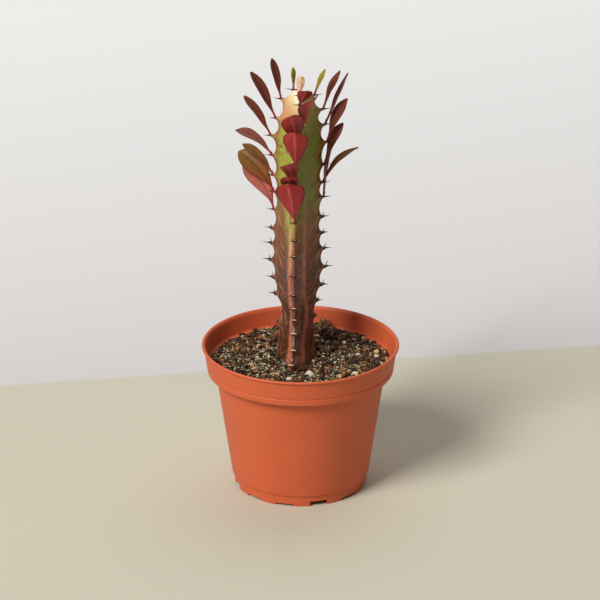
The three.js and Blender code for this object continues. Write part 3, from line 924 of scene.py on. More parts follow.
class EUPHORBIA_OT_potting_mix(bpy.types.Operator):
    """Builds the body of the potting mix with its crumbly surface"""

    bl_idname = "euphorbia.potting_mix"
    bl_label = "Potting Mix"

    def execute(self, context):
        base, corner, lip = FLOOR_TOP + FIT_GAP, STEP_HEIGHT + WALL, LEDGE_HEIGHT + FIT_GAP
        # Out over the pot's floor and its rounded corner, up the wall and out on
        # to the ledge, as (radius, z).
        wall = [(0, base), (20, base)]
        wall += [(inner_radius(corner) - 2.9, base), (inner_radius(corner) - 1.5, base + 0.8)]
        for share in (0, 0.2, 0.4, 0.6, 0.8, 1):
            z = lerp(corner + 0.2, LEDGE_HEIGHT - 0.5, share)
            wall.append((inner_radius(z) - FIT_GAP, z))
        wall += [(inner_radius(LEDGE_HEIGHT) + 0.3, lip), (SPILL_RADIUS, lip)]
        rings = []
        for row in range(len(wall) + MIX_ROWS + 1):
            ring = []
            for i in range(MIX_AROUND):
                angle = 2 * math.pi * i / MIX_AROUND
                if row < len(wall):
                    radius, z = wall[row]
                    x, y = radius * math.cos(angle), radius * math.sin(angle)
                    reach = spill(x, y) if z >= lip else 1.0
                    ring.append(Vector((x * reach, y * reach, z)))
                    continue
                radius = SPILL_RADIUS * (1 - (row - len(wall)) / MIX_ROWS)
                x, y = radius * math.cos(angle), radius * math.sin(angle)
                reach = spill(x, y)
                x, y = x * reach, y * reach
                inner = smoothstep(-radius, -LEDGE_RADIUS, -DEEP_RADIUS)
                lowest = lip + LEDGE_COVER - DEEPEST_HOLLOW * inner
                ring.append(Vector((x, y, max(lowest, soil_height(x, y)))))
            rings.append(ring)
        mix = rolled(rings)
        colour = context.scene.potting_mix.peat
        settle(mix, "potting_mix", peat_mix(colour), "potting_soil", 50)
        return {"FINISHED"}


class EUPHORBIA_OT_peat_crumbs(bpy.types.Operator):
    """Strews loose crumbs of peat and chips of bark over the mix"""

    bl_idname = "euphorbia.peat_crumbs"
    bl_label = "Peat Crumbs"

    def execute(self, context):
        draw = random.Random(11)
        shapes = len(CRUMB_SHAPES)
        placements = []
        # Crumbs from 0.75 mm to just over 4 mm, most of them small.
        for _ in range(context.scene.potting_mix.crumbs):
            x, y = spot(draw)
            size = 0.75 + 3.4 * draw.random() ** 3.5
            stretch = (1, draw.uniform(0.55, 1), draw.uniform(0.45, 0.8))
            placements.append((
                draw.randrange(shapes), lying(x, y, size, stretch, draw), draw.random() ** 1.4
            ))
        # Flat chips of bark.
        for _ in range(BARK_CHIPS):
            x, y = spot(draw, 46)
            stretch = (1, draw.uniform(0.35, 0.7), draw.uniform(0.16, 0.3))
            placements.append((
                draw.randrange(shapes),
                lying(x, y, draw.uniform(3.5, 7.5), stretch, draw),
                draw.uniform(0.2, 0.75),
            ))
        # A heap of pale crumbs over the fibre clump, highest in its middle.
        for _ in range(HEAPED_CRUMBS):
            aside = draw.gauss(0, 2.4)
            y = min(FIBRE_CLUMP.y + draw.gauss(0, 1.4), 47.8)
            heap = 4.2 * bell(aside, 3.4) * draw.random()
            crumb = lying(FIBRE_CLUMP.x + aside, y, draw.uniform(0.9, 2), (1, 0.7, 0.6), draw)
            placements.append((
                draw.randrange(shapes),
                Matrix.Translation((0, 0, heap - 1.5)) @ crumb,
                draw.uniform(0.62, 1),
            ))
        crumbs = strewn([pebble(seed) for seed in CRUMB_SHAPES], placements)
        # Crumbled peat and composted bark: matt and fibrous, from the near-black of
        # damp peat to the tan of bark that has dried on top.
        stops = (
            (0, 0x1C110A), (0.3, 0x3A2215), (0.58, 0x643D24),
            (0.8, 0x8C5831), (0.93, 0xAE7C4C), (1, 0xCDB488),
        )
        peat = toned("peat_crumbs_and_bark", stops, 0.9, 1.2)
        settle(crumbs, "peat_crumbs", peat, "potting_soil")
        return {"FINISHED"}


class EUPHORBIA_OT_grit_flecks(bpy.types.Operator):
    """Strews pale grit and moss flecks, thickest in a few patches"""

    bl_idname = "euphorbia.grit_flecks"
    bl_label = "Grit Flecks"

    def execute(self, context):
        draw = random.Random(23)
        placements = []
        while len(placements) < context.scene.potting_mix.flecks:
            x, y = spot(draw)
            thick = sum(
                math.exp(-(((x - a) ** 2 + (y - b) ** 2) / s**2)) for a, b, s in FLECK_PATCHES
            )
            if draw.random() > STRAY_FLECKS + thick:
                continue
            size = 0.5 + 0.75 * draw.random() ** 2
            stretch = (1.25, draw.uniform(0.6, 1), draw.uniform(0.6, 0.9))
            placements.append((
                draw.randrange(len(FLECK_SHAPES)),
                lying(x, y, size, stretch, draw, sink=-0.35),
                draw.random(),
            ))
        flecks = strewn([pebble(seed) for seed in FLECK_SHAPES], placements)
        # Lime grit and bits of moss: dry and dull, from dark olive to a chalky cream
        # that stands out from the peat.
        stops = ((0, 0x34321E), (0.3, 0x6E6D46), (0.6, 0xB4B088), (0.85, 0xD8D0AA), (1, 0xEEE8CC))
        grit = toned("lime_grit_and_moss", stops, 0.8, 0.7)
        settle(flecks, "grit_flecks", grit, "potting_soil")
        return {"FINISHED"}


class EUPHORBIA_OT_perlite(bpy.types.Operator):
    """Lays the white perlite grains on the mix"""

    bl_idname = "euphorbia.perlite"
    bl_label = "Perlite"

    def execute(self, context):
        draw = random.Random(7)
        grains = list(PERLITE)
        for _ in range(STRAY_PERLITE):
            x, y = spot(draw, 47)
            grains.append((x, y, draw.uniform(1.2, 2.2)))
        placements = []
        for x, y, size in grains:
            stretch = (1, draw.uniform(0.75, 0.95), draw.uniform(0.6, 0.8))
            placements.append((
                draw.randrange(len(PERLITE_SHAPES)),
                lying(x, y, size, stretch, draw),
                draw.uniform(0.55, 1),
            ))
        templates = [pebble(seed, subdivisions=3, rough=0.16) for seed in PERLITE_SHAPES]
        colour = context.scene.potting_mix.perlite
        material, tree, shader = new_material("expanded_perlite", 0.85, 1.5)
        # Popped volcanic glass: chalky white, pitted, with brown peat dust in the pits.
        coords = add_node(tree, "TexCoord").outputs["Object"]
        pits = add_node(tree, "TexVoronoi", {"Vector": coords, "Scale": per_mm(0.9)}).outputs["Distance"]
        stain = add_node(tree, "TexNoise", {"Vector": coords, "Scale": per_mm(1.6), "Detail": 4.0}).outputs[0]
        dust = add_node(
            tree, "MapRange", {"Value": stain, "From Min": 0.5, "From Max": 0.72, "To Max": 0.8}
        ).outputs[0]
        mixed = add_node(
            tree,
            "Mix",
            {MIX_FACTOR: dust, MIX_FIRST: opaque(colour), MIX_SECOND: opaque(linear(0x7A6248))},
            data_type="RGBA",
        )
        tree.links.new(mixed.outputs[MIX_RESULT], shader.inputs["Base Color"])
        bump = add_node(tree, "Bump", {"Strength": 0.9, "Distance": 0.35 * MM, "Height": pits})
        tree.links.new(bump.outputs[0], shader.inputs["Normal"])
        perlite = strewn(templates, placements)
        settle(perlite, "perlite_grains", material, "potting_soil", 40)
        return {"FINISHED"}


class EUPHORBIA_OT_root_fibres(bpy.types.Operator):
    """Strews thin bits of root and coir over the mix"""

    bl_idname = "euphorbia.root_fibres"
    bl_label = "Root Fibres"

    def execute(self, context):
        # Square threads of unit length, each with its own bend, thinner at the ends.
        templates = []
        for bend in (0.12, -0.2, 0.3):
            rings = []
            for row in range(6):
                share = row / 5 - 0.5
                sag = bend * (1 - 4 * share**2)
                thick = 0.5 * (1 - 1.6 * share**2)
                rings.append([
                    Vector((share, sag + 0.06 * thick * math.cos(a), 0.06 * thick * math.sin(a))) / MM
                    for a in (0, math.pi / 2, math.pi, 1.5 * math.pi)
                ])
            templates.append(rolled(rings))
        draw = random.Random(5)
        placements = []
        for i in range(context.scene.potting_mix.fibres):
            x, y = spot(draw, 45)
            standing = i % STANDING_FIBRE == 0
            if standing:
                x = FIBRE_CLUMP.x + draw.gauss(0, 2.4)
                y = min(FIBRE_CLUMP.y + draw.gauss(0, 1.2), 46.5)
            length = draw.uniform(2.5, 7)
            tilt = draw.uniform(-0.9, 0.9) if standing else draw.uniform(-0.2, 0.2)
            turn = Matrix.Rotation(draw.uniform(0, 2 * math.pi), 4, "Z") @ Matrix.Rotation(tilt, 4, "Y")
            roll = Matrix.Rotation(draw.uniform(0, 2 * math.pi), 4, "X")
            raised = draw.uniform(0, 3) if standing else 0.55
            place = Matrix.Translation((x, y, soil_height(x, y) + raised))
            scale = Matrix.Diagonal((length, min(length, 4), 6, 1))
            placements.append((
                draw.randrange(len(templates)), place @ turn @ roll @ scale, draw.random()
            ))
        fibres = strewn(templates, placements)
        # Dead roots and coir: dull threads from dark brown to straw.
        stops = ((0, 0x3A2416), (0.5, 0x6E4A2A), (0.8, 0xA17A4C), (1, 0xCDB58A))
        coir = toned("root_and_coir_fibre", stops, 0.8, 2.0)
        settle(fibres, "root_fibres", coir, "potting_soil", 60)
        return {"FINISHED"}


# ------------------------------------------------------------------------- stem

STEM_AROUND = 144
ROWS_PER_TOOTH = 16

# The azimuth that the key light comes from, by which the skin is painted with light and shade, and the sizes
# of the skin's mottling.
LIGHT_AZIMUTH = math.radians(-150)
COARSE_MOTTLE, FINE_MOTTLE = 6, 2.2

# Heights between which the skin changes on the way up.
YOUTH_ZONE = (150, 173)  # old brown gives way to young green
LIT_DARKENING_ZONE = (104, 135)  # old skin towards the key light stops being painted darker
PALER_ZONE = (126, 156)  # old skin grows paler
OLD_GOLD_ZONE = (138, 152)  # old skin on the shaded side is painted towards gold, painted light
MAUVE_ZONE = (130, 150)  # the mauve beside the front rib ends
PALE_BLUSH_ZONE = (126, 144)  # the front rib's blush is painted paler towards the key light, a painted highlight
BROWN_EDGE_ZONE = (128, 145)  # the side ribs' old margins towards the key light are painted brown, painted light
YOUNG_GOLD_ZONE = (203, 216)  # young skin on the shaded side is painted golden, painted light
LIT_CROWN_ZONE = (211, 217)  # the crown's pale growth is painted lower towards the key light, partly painted light
CROWN_ZONE = (218, 227)  # and all round
PEACH_ZONE = (213, 226)  # that growth turns from peach to cream
CREAM_ZONE = (222, 230)  # and from cream to nearly white

# Width in millimetres of the red line along a crest, measured as an arc at the
# mean reach, and of the zones beside a crest: the gold or brown margin and the
# hardened skin round a tooth, on the front rib and on the others.
EDGE_WIDTH, MEAN_REACH = 0.65, 15
FRONT_MARGIN, SIDE_MARGIN = 2.2, 8.0
FRONT_TOOTH, SIDE_TOOTH = 1.9, 3.0

# Where beside the front rib the blush band runs, in degrees, and how wide it is.
# Round one height it drifts towards the right rib.
BLUSH_ANGLE, BLUSH_SPREAD = 36, 11
# Towards the key light the band is painted this close to the crest, partly the skin's own blush and partly a
# painted highlight.
LIT_BLUSH_ANGLE = 12
BLUSH_DRIFT, DRIFT_HEIGHT, DRIFT_SPREAD = 48, 101, 10

# How much a vein falls on its way from the tooth to the valley, as a slope, and
# what keeps the three measures of the veins' course between 0 and 1.
VEIN_FALL = 0.76
TEETH_UNIT, RISE_UNIT, FLANK_UNIT = 20, 250, 20


def third_angles():
    """Angles from one crest to the next, closer together near the crests."""
    count = STEM_AROUND // 3
    shares = [i / count for i in range(count)]
    return [120 * (share - 0.8 * math.sin(2 * math.pi * share) / (2 * math.pi)) for share in shares]


def blend(start, end, share):
    """Blend of two colours, with the share held between 0 and 1."""
    share = min(1.0, max(0.0, share))
    return tuple(lerp(a, b, share) for a, b in zip(start, end))


def fresh_skin(settings, z, key_lit, front_crest_light, mottle):
    """Young green skin, mottled with brown. As painted light it is lighter towards the key light and beside
    the front rib's crest on its shaded side, and golden on the shaded side high up.
    """
    fresh = blend(settings.green, settings.key_lit, max(key_lit, front_crest_light))
    fresh = blend(fresh, settings.gold, 0.3 * (1 - key_lit) * smoothstep(z, *YOUNG_GOLD_ZONE))
    return blend(fresh, settings.margin, smoothstep(mottle, 0.1, 0.9))


def old_skin(settings, z, key_lit):
    """Old brown skin, paler higher up. As painted light it goes towards gold on the shaded side and is darker
    low down on the side towards the key light.
    """
    old = blend(settings.brown, settings.margin, 0.65 * smoothstep(z, *PALER_ZONE))
    old = blend(old, settings.gold, 0.16 * (1 - key_lit) * smoothstep(z, *OLD_GOLD_ZONE))
    lit_darkening = 1 - 0.4 * key_lit * (1 - smoothstep(z, *LIT_DARKENING_ZONE))
    return tuple(lit_darkening * c for c in old)


def blush_band(front, degrees, azimuth, z, key_lit, waver):
    """Strength of the blush band: beside the front rib, where it ends on the right
    rib's flank, and in the middle of the face behind. Towards the key light it is
    painted nearer the front rib's crest and stronger, partly the skin's own blush
    and partly a painted highlight."""
    drift = bell(z - DRIFT_HEIGHT, DRIFT_SPREAD)
    middle, spread = BLUSH_ANGLE + BLUSH_DRIFT * drift, BLUSH_SPREAD * (1 + 0.5 * drift)
    if front:
        middle = lerp(middle, LIT_BLUSH_ANGLE, key_lit)
        spread = lerp(spread, BLUSH_SPREAD, key_lit)
        return lerp(1.25, 1.45, key_lit) * bell(degrees + waver - middle, spread)
    behind = smoothstep(math.sin(azimuth), 0.2, 0.6) * bell(60 - degrees, BLUSH_SPREAD)
    across = bell(120 - degrees + waver - middle, spread)
    return max(behind, 1.25 * (1 - key_lit) * smoothstep(-math.sin(azimuth), -0.1, 0.1) * across)


def crown_growth(settings, point, fine):
    """New growth: peach below, cream to nearly white at the tip, and painted down
    to gold on the side away from the key light, as painted shade."""
    ripe = point.z + 0.7 * point.x + 2 * fine
    growth = blend(settings.peach, settings.crown, smoothstep(ripe, *PEACH_ZONE))
    growth = blend(growth, settings.cream, smoothstep(ripe, *CREAM_ZONE))
    return blend(growth, settings.gold, smoothstep(point.x, 0.5, 3.5))


def skin_colours(settings, rib, point, degrees, crest, azimuth):
    """Colour of the skin at a point, with how mottled it is as its alpha, and
    colour and strength of its veins. Much of the colour is painted light: faces
    towards the key light and faces in its shade are given their own lighter or
    darker colours.

    Degrees and crest are the turn and the distance in millimetres from the
    edge of the nearest rib.
    """
    z, front = point.z, rib["side"] == "front"
    coarse, fine = noise.noise(point / COARSE_MOTTLE), noise.noise(point / FINE_MOTTLE)
    lit = math.cos(azimuth - LIGHT_AZIMUTH)
    key_lit = smoothstep(lit, 0.3, 0.8)
    shade = 1 - key_lit
    youth = smoothstep(z + 10 * coarse + 5 * fine + (8 if front else -4) * key_lit, *YOUTH_ZONE)
    # Painted highlight beside the front rib's crest on its shaded side, where the light grazes it.
    fresh = fresh_skin(settings, z, key_lit, 0.75 * front * bell(crest, 5), coarse + fine)
    colour = blend(old_skin(settings, z, key_lit), fresh, youth)

    # The margin beside the crest, then the blush band and what lies beside it.
    broad = bell(crest + 1.5 * fine, FRONT_MARGIN if front else SIDE_MARGIN)
    # Beside the side ribs the margin is painted pinker towards the key light, as painted light; beside the
    # front rib it is gold.
    margin = settings.gold if front else blend(settings.margin, settings.blush, 0.3 * key_lit)
    colour = blend(colour, margin, (0.8 if front else 0.95) * broad * youth)
    blush = settings.blush
    if front:
        aged = (1 - youth) * (1 - smoothstep(z, *MAUVE_ZONE))
        # Painted shade: mauve on the front rib's shaded flank. Painted highlight: blush beside its crest on
        # that side, where light grazes the rounded crest.
        colour = blend(colour, settings.mauve, 0.8 * aged * shade * smoothstep(-degrees, -42, -26))
        colour = blend(colour, blush, 0.55 * shade * (1 - 0.8 * youth) * bell(crest, 1.8))
        blush = blend(blush, settings.crown, 0.5 * key_lit * smoothstep(z, *PALE_BLUSH_ZONE))
    else:
        # Painted light and shade: the side ribs' old margins are brown towards the key light and take the
        # dark tooth colour in the shade.
        aged = 0.4 * (1 - youth) * broad
        colour = blend(colour, settings.margin, aged * key_lit * smoothstep(z, *BROWN_EDGE_ZONE))
        colour = blend(colour, settings.tooth, aged * shade)
    band = blush_band(front, degrees, azimuth, z, key_lit, 6 * coarse)
    colour = blend(colour, blush, band * (1 - 0.85 * youth) * (0.75 + 0.5 * fine))

    # The red line along the crest, strongest under each tooth, corky low down.
    place = rib_place(rib, z)
    below = place - math.floor(place)
    edge = bell(math.radians(degrees) * MEAN_REACH, EDGE_WIDTH)
    red = 0.15 + 0.8 * smoothstep(-below, -0.6, -0.2)
    # On the young front rib the line turns gold, partly its own colour and partly a painted highlight along
    # the crest.
    edge_colour = blend(settings.crest, settings.gold, (0.8 if front else 0.1) * youth)
    colour = blend(colour, edge_colour, edge * red)
    flaky = smoothstep(fine, -0.15, 0.25) * smoothstep(-z, -112, -98)
    colour = blend(colour, settings.worn, 1.4 * edge * flaky)

    # Hardened skin round the nearest tooth. On young teeth it is painted pink towards the key light and stays
    # dark in the shade, as painted light and shade.
    tips = [tooth_tip(rib, n) for n, tooth in enumerate(rib["teeth"]) if abs(tooth - z) < 9]
    gap = min(((tip - point).length for tip in tips), default=20.0)
    hard = bell(gap, FRONT_TOOTH if front else SIDE_TOOTH)
    colour = blend(colour, blend(settings.tooth, settings.blush, 0.8 * youth * key_lit), 0.95 * hard)

    pale = smoothstep(lit, 0.3, 0.75) * smoothstep(z + 2 * fine, *LIT_CROWN_ZONE)
    pale = max(pale, 0.9 * smoothstep(z + 2 * fine, *CROWN_ZONE))
    colour = blend(colour, crown_growth(settings, point, fine), pale)

    vein_colour = blend(settings.blush, blend(settings.key_lit, settings.crown, 0.25), youth)
    strength = (0.78 - 0.33 * youth) * (1 - pale) * smoothstep(crest, 0.8, 3) * (0.35 if front else 1)
    return (*colour, 1 - 0.85 * pale), (*vein_colour, strength)


def skin_point(settings, place, i, angle):
    """A point of the stem's skin and its three layers for the material.

    The last layer holds how the veins run: their count in teeth, their rise and
    the distance from the rib's edge. A vein falls from its tooth to the valley.
    """
    rib, following = RIBS[i], RIBS[(i + 1) % 3]
    share = angle / 120
    z = lerp(rib_height(rib, place), rib_height(following, place), share)
    reach, reach_next = rib_reach(rib, place), rib_reach(following, place)
    core = core_share(z) * lerp(reach, reach_next, share)
    here = (reach - core) * rib_share(rib, place, angle)
    there = (reach_next - core) * rib_share(following, place, 120 - angle)
    radius = core + here + there
    wrinkle = 0.22 * noise.noise(Vector((angle / 9, z / 2.6, 3.3 * i)))
    degrees = min(angle, 120 - angle)
    rough = wrinkle * smoothstep(degrees, 3, 14) * min(1.0, radius / 6)
    point = stem_axis(z) + outward(rib, z, angle) * (radius + rough)
    nearest, edge_reach = (rib, reach) if share < 0.5 else (following, reach_next)
    crest = (stem_axis(z) + outward(nearest, z) * edge_reach - point).length
    azimuth = math.radians(rib["azimuth"] + twist(z) + angle)
    paint, tint = skin_colours(settings, nearest, point, degrees, crest, azimuth)
    rise = z + VEIN_FALL * crest
    lines = (rib_place(nearest, rise) / TEETH_UNIT, rise / RISE_UNIT, crest / FLANK_UNIT, 1.0)
    return point, paint, tint, lines


def succulent_skin():
    """Waxy living skin of a succulent stem: satin, painted in soft zones by age
    and place and, as painted light, by the side that faces the key light, with
    pale feathered veins that fall from each tooth to the valley and a fine
    mottling of the skin."""
    material, tree, shader = new_material("waxy_stem_skin", 0.48, 1.45)
    shader.inputs["Specular IOR Level"].default_value = 0.3
    coords = add_node(tree, "TexCoord").outputs["Object"]
    painted = add_node(tree, "Attribute", attribute_name="paint").outputs
    tint = add_node(tree, "Attribute", attribute_name="tint").outputs
    course = add_node(tree, "Attribute", attribute_name="lines").outputs["Color"]
    phase, rise, flank = add_node(tree, "SeparateColor", {"Color": course}).outputs

    # One vein leads to each tooth, wavering by up to a quarter of a tooth's pitch,
    # with a fainter one halfway between.
    wander = add_node(tree, "TexNoise", {"Vector": coords, "Scale": per_mm(4.5), "Detail": 2.0}).outputs[0]
    turns = add_node(
        tree, "Math", {0: phase, 1: TEETH_UNIT * 2 * math.pi}, operation="MULTIPLY"
    ).outputs[0]
    bent = add_node(tree, "Math", {0: wander, 1: 4.0, 2: turns}, operation="MULTIPLY_ADD").outputs[0]
    main_wave = add_node(tree, "Math", {0: bent}, operation="COSINE").outputs[0]
    main = add_node(tree, "MapRange", {"Value": main_wave, "From Min": 0.84, "From Max": 1.0}).outputs[0]
    double = add_node(tree, "Math", {0: bent, 1: 2.0}, operation="MULTIPLY").outputs[0]
    half_wave = add_node(tree, "Math", {0: double}, operation="COSINE").outputs[0]
    half = add_node(
        tree, "MapRange", {"Value": half_wave, "From Min": 0.75, "From Max": 1.0, "To Max": 0.4}
    ).outputs[0]

    # Feathering: noise 1.2 mm across the veins' course and 8 mm along it. A step
    # up is 0.8 of a step across the course, because the veins fall.
    over = add_node(tree, "Math", {0: rise, 1: RISE_UNIT * 0.8 / 1.2}, operation="MULTIPLY").outputs[0]
    length = add_node(tree, "Math", {0: flank, 1: FLANK_UNIT / 8}, operation="MULTIPLY").outputs[0]
    course_at = add_node(tree, "CombineXYZ", {0: over, 1: length, 2: phase}).outputs[0]
    feather = add_node(
        tree, "TexNoise", {"Vector": course_at, "Scale": 1.0, "Detail": 3.0, "Distortion": 0.3}
    ).outputs[0]
    streaks = add_node(
        tree, "MapRange", {"Value": feather, "From Min": 0.5, "From Max": 0.68, "To Max": 0.6}
    ).outputs[0]
    lines = add_node(tree, "Math", {0: main, 1: half}, operation="MAXIMUM").outputs[0]
    broken = add_node(
        tree, "MapRange", {"Value": feather, "From Min": 0.36, "From Max": 0.52, "To Min": 0.15}
    ).outputs[0]
    lines = add_node(tree, "Math", {0: lines, 1: broken}, operation="MULTIPLY").outputs[0]
    veins = add_node(tree, "Math", {0: lines, 1: streaks}, operation="MAXIMUM").outputs[0]
    shown = add_node(tree, "Math", {0: veins, 1: tint["Alpha"]}, operation="MULTIPLY").outputs[0]
    veined = add_node(
        tree,
        "Mix",
        {MIX_FACTOR: shown, MIX_FIRST: painted["Color"], MIX_SECOND: tint["Color"]},
        data_type="RGBA",
    ).outputs[MIX_RESULT]
    speckle = add_node(tree, "TexNoise", {"Vector": coords, "Scale": per_mm(0.9), "Detail": 3.0}).outputs[0]
    shade = add_node(
        tree, "MapRange", {"Value": speckle, "From Min": 0.3, "From Max": 0.7, "To Min": 0.78, "To Max": 1.18}
    ).outputs[0]
    evened = add_node(
        tree, "Mix", {MIX_FACTOR: painted["Alpha"], MIX_FIRST_NUMBER: 1.0, MIX_SECOND_NUMBER: shade}
    ).outputs[0]
    final = add_node(tree, "HueSaturation", {"Value": evened, "Color": veined})
    tree.links.new(final.outputs[0], shader.inputs["Base Color"])
    pores = add_node(tree, "Math", {0: speckle, 1: feather}, operation="ADD").outputs[0]
    bump = add_node(tree, "Bump", {"Strength": 0.5, "Distance": 0.25 * MM, "Height": pores})
    tree.links.new(bump.outputs[0], shader.inputs["Normal"])
    return material


class EUPHORBIA_OT_stem(bpy.types.Operator):
    """Builds the three-ribbed stem"""

    bl_idname = "euphorbia.stem"
    bl_label = "Stem"

    def execute(self, context):
        settings = context.scene.euphorbia_stem
        lowest = len(RIBS[0]["teeth"]) - 1
        angles = third_angles()
        rings = []
        layers = {"paint": [], "tint": [], "lines": []}
        for row in range((lowest + 2) * ROWS_PER_TOOTH + 1):
            place = lowest + 1 - row / ROWS_PER_TOOTH
            drawn = [skin_point(settings, place, i, angle) for i in range(3) for angle in angles]
            rings.append([found[0] for found in drawn])
            for number, layer in enumerate(layers.values()):
                layer.append([found[number + 1] for found in drawn])
        stem = rolled(rings, layers)
        settle(stem, "ribbed_stem", succulent_skin(), "leafy_stem", 55)
        return {"FINISHED"}


# ----------------------------------------------------------------------- leaves

# Places across half a blade, from the midrib to the margin.
HALF_BLADE = (0, 0.05, 0.11, 0.2, 0.34, 0.5, 0.66, 0.8, 0.9, 0.97, 1)
LEAF_STATIONS = 34

PETIOLE_WIDTH = 1.3
PETIOLE_DEPTH = 1.2

# How far inside its tooth a leaf's root and its foot lie.
LEAF_ROOT = 2.2
LEAF_INSET = 0.7

# Where a leaf is widest, as a share of its length, how slowly its base widens,
# and how pointed its tip is: the lower the power, the rounder the tip.
LEAF_WIDEST = 0.7
LEAF_BASE_POWER = 1.4
LEAF_TIP_POWER = 0.66
BUD_TIP_POWER = 0.42

# Half the width from which a section is a blade and no longer a stalk.
BLADE_ZONE = (0.8, 2.2)
MIDRIB_ROUNDING = 0.6
WAVE_HEIGHT, WAVE_TURNS, WAVE_SHIFT = 0.32, 8.5, 1.7
MIDRIB_GROOVE, MIDRIB_GROOVE_WIDTH = 0.12, 0.5
KEEL_DEPTH, KEEL_WIDTH = 0.5, 0.6


def leaf_half_width(width, share, tip_power):
    """A narrow petiole, a wedge-shaped base, the widest place past the middle
    and a tip that is rounder the lower its power is."""
    past = max(0.0, (share - LEAF_WIDEST) / (1 - LEAF_WIDEST))
    base = math.sin(math.pi / 2 * min(1.0, share / LEAF_WIDEST)) ** LEAF_BASE_POWER
    tip = math.cos(math.pi / 2 * past * 0.98) ** tip_power
    return max(PETIOLE_WIDTH / 2 * (1 - 0.6 * share), width / 2 * base * tip)


def leaf_section(at, forward, side, width, share, settings, phase, tip_power):
    """One section: a shallow V with thin margins and a keel under the midrib."""
    upper = forward.cross(side)
    half = leaf_half_width(width, share, tip_power)
    blade = smoothstep(half, *BLADE_ZONE)
    thick = lerp(PETIOLE_DEPTH, settings.thickness / MM, min(1.0, 1.6 * share)) / 2
    rise = math.tan(settings.fold)
    across = HALF_BLADE[::-1] + tuple(-s for s in HALF_BLADE[1:])
    points, traits = [], []
    for face, places in ((1, across), (-1, across[-2:0:-1])):
        for s in places:
            x = half * s
            fold = rise * (math.hypot(x, MIDRIB_ROUNDING) - MIDRIB_ROUNDING) * blade
            turn = WAVE_TURNS * share + phase + (WAVE_SHIFT if s > 0 else 0)
            wave = WAVE_HEIGHT * blade * s * abs(s) * math.sin(turn)
            body = thick * math.sqrt(max(0.0, 1 - s * s)) * lerp(1, 0.75, blade)
            groove = -MIDRIB_GROOVE * blade * bell(x, MIDRIB_GROOVE_WIDTH)
            keel = -KEEL_DEPTH * blade * (1 - 0.75 * share) * bell(x, KEEL_WIDTH)
            lift = fold + wave + (body + groove if face > 0 else keel - body)
            points.append(at + side * x + upper * lift)
            traits.append((0.5 + 0.5 * s, share, 1.0 if face > 0 else 0.0, 1.0))
    return points, traits


def leaf_rings(rib, number, shape, settings, phase):
    """Sections of one leaf from the root inside its tooth to its tip."""
    z = rib["teeth"][number]
    length, width, first_rise, tip_rise, lean, roll, kind = shape
    lean, roll = math.radians(lean), math.radians(roll)
    tip_power = BUD_TIP_POWER if kind == "bud" else LEAF_TIP_POWER
    out = outward(rib, z)
    aside = Vector((0, 0, 1)).cross(out)

    def heading(share):
        rise = math.radians(lerp(first_rise, tip_rise, share))
        level = out * math.cos(rise) + aside * (math.sin(rise) * math.sin(lean))
        return level + Vector((0, 0, math.sin(rise) * math.cos(lean)))

    def across(forward, share):
        side = aside * math.cos(lean) - Vector((0, 0, math.sin(lean)))
        side = (side - forward * side.dot(forward)).normalized()
        return Quaternion(forward, roll * smoothstep(share, 0, 0.4)) @ side

    at = stem_axis(z + 0.2) + out * (tooth_reach(rib, number) - LEAF_INSET)
    elbow = (heading(0) + out).normalized()
    made = [
        leaf_section(at - out * LEAF_ROOT, out, aside, width, 0, settings, phase, tip_power),
        leaf_section(at, elbow, aside, width, 0, settings, phase, tip_power),
    ]
    for i in range(1, LEAF_STATIONS + 1):
        share = i / LEAF_STATIONS
        at = at + heading(share - 0.5 / LEAF_STATIONS) * (length / LEAF_STATIONS)
        side = across(heading(share), share)
        made.append(leaf_section(at, heading(share), side, width, share, settings, phase, tip_power))
    return [points for points, _ in made], [traits for _, traits in made]


# The kinds of leaf skin, with their colours as sRGB hex values. The wine-red
# leaves take both faces from the settings, and all but the bud their stalk. An
# olive leaf is duller than the rest.
LEAF_SKINS = {
    "wine": ("wine_red_leaf", 0.3, {
        "midrib": 0xE0625A, "margin": 0x2A1210, "flush": 0x7A3028,
    }),
    "olive": ("olive_brown_leaf", 0.12, {
        "upper": 0x7C5A26, "lower": 0x9C3A34, "midrib": 0x4A2A1A, "margin": 0x34200F, "flush": 0x8A3C28,
    }),
    "rosy": ("rosy_leaf", 0.3, {
        "upper": 0xAE6052, "lower": 0xB04A4A, "midrib": 0xE09A88, "margin": 0x5A221C, "flush": 0xC46A66,
    }),
    "young": ("young_olive_leaf", 0.3, {
        "upper": 0x968822, "lower": 0xA79840, "midrib": 0xC0B45A, "margin": 0x5E4A1E, "flush": 0x8A6A30,
    }),
    "bud": ("peach_leaf_bud", 0.3, {
        "upper": 0xFFCDA2, "lower": 0xFFCFA6, "midrib": 0xFFDCBC, "margin": 0xB4683E, "flush": 0xF0A080,
        "petiole": 0xC05048,
    }),
}


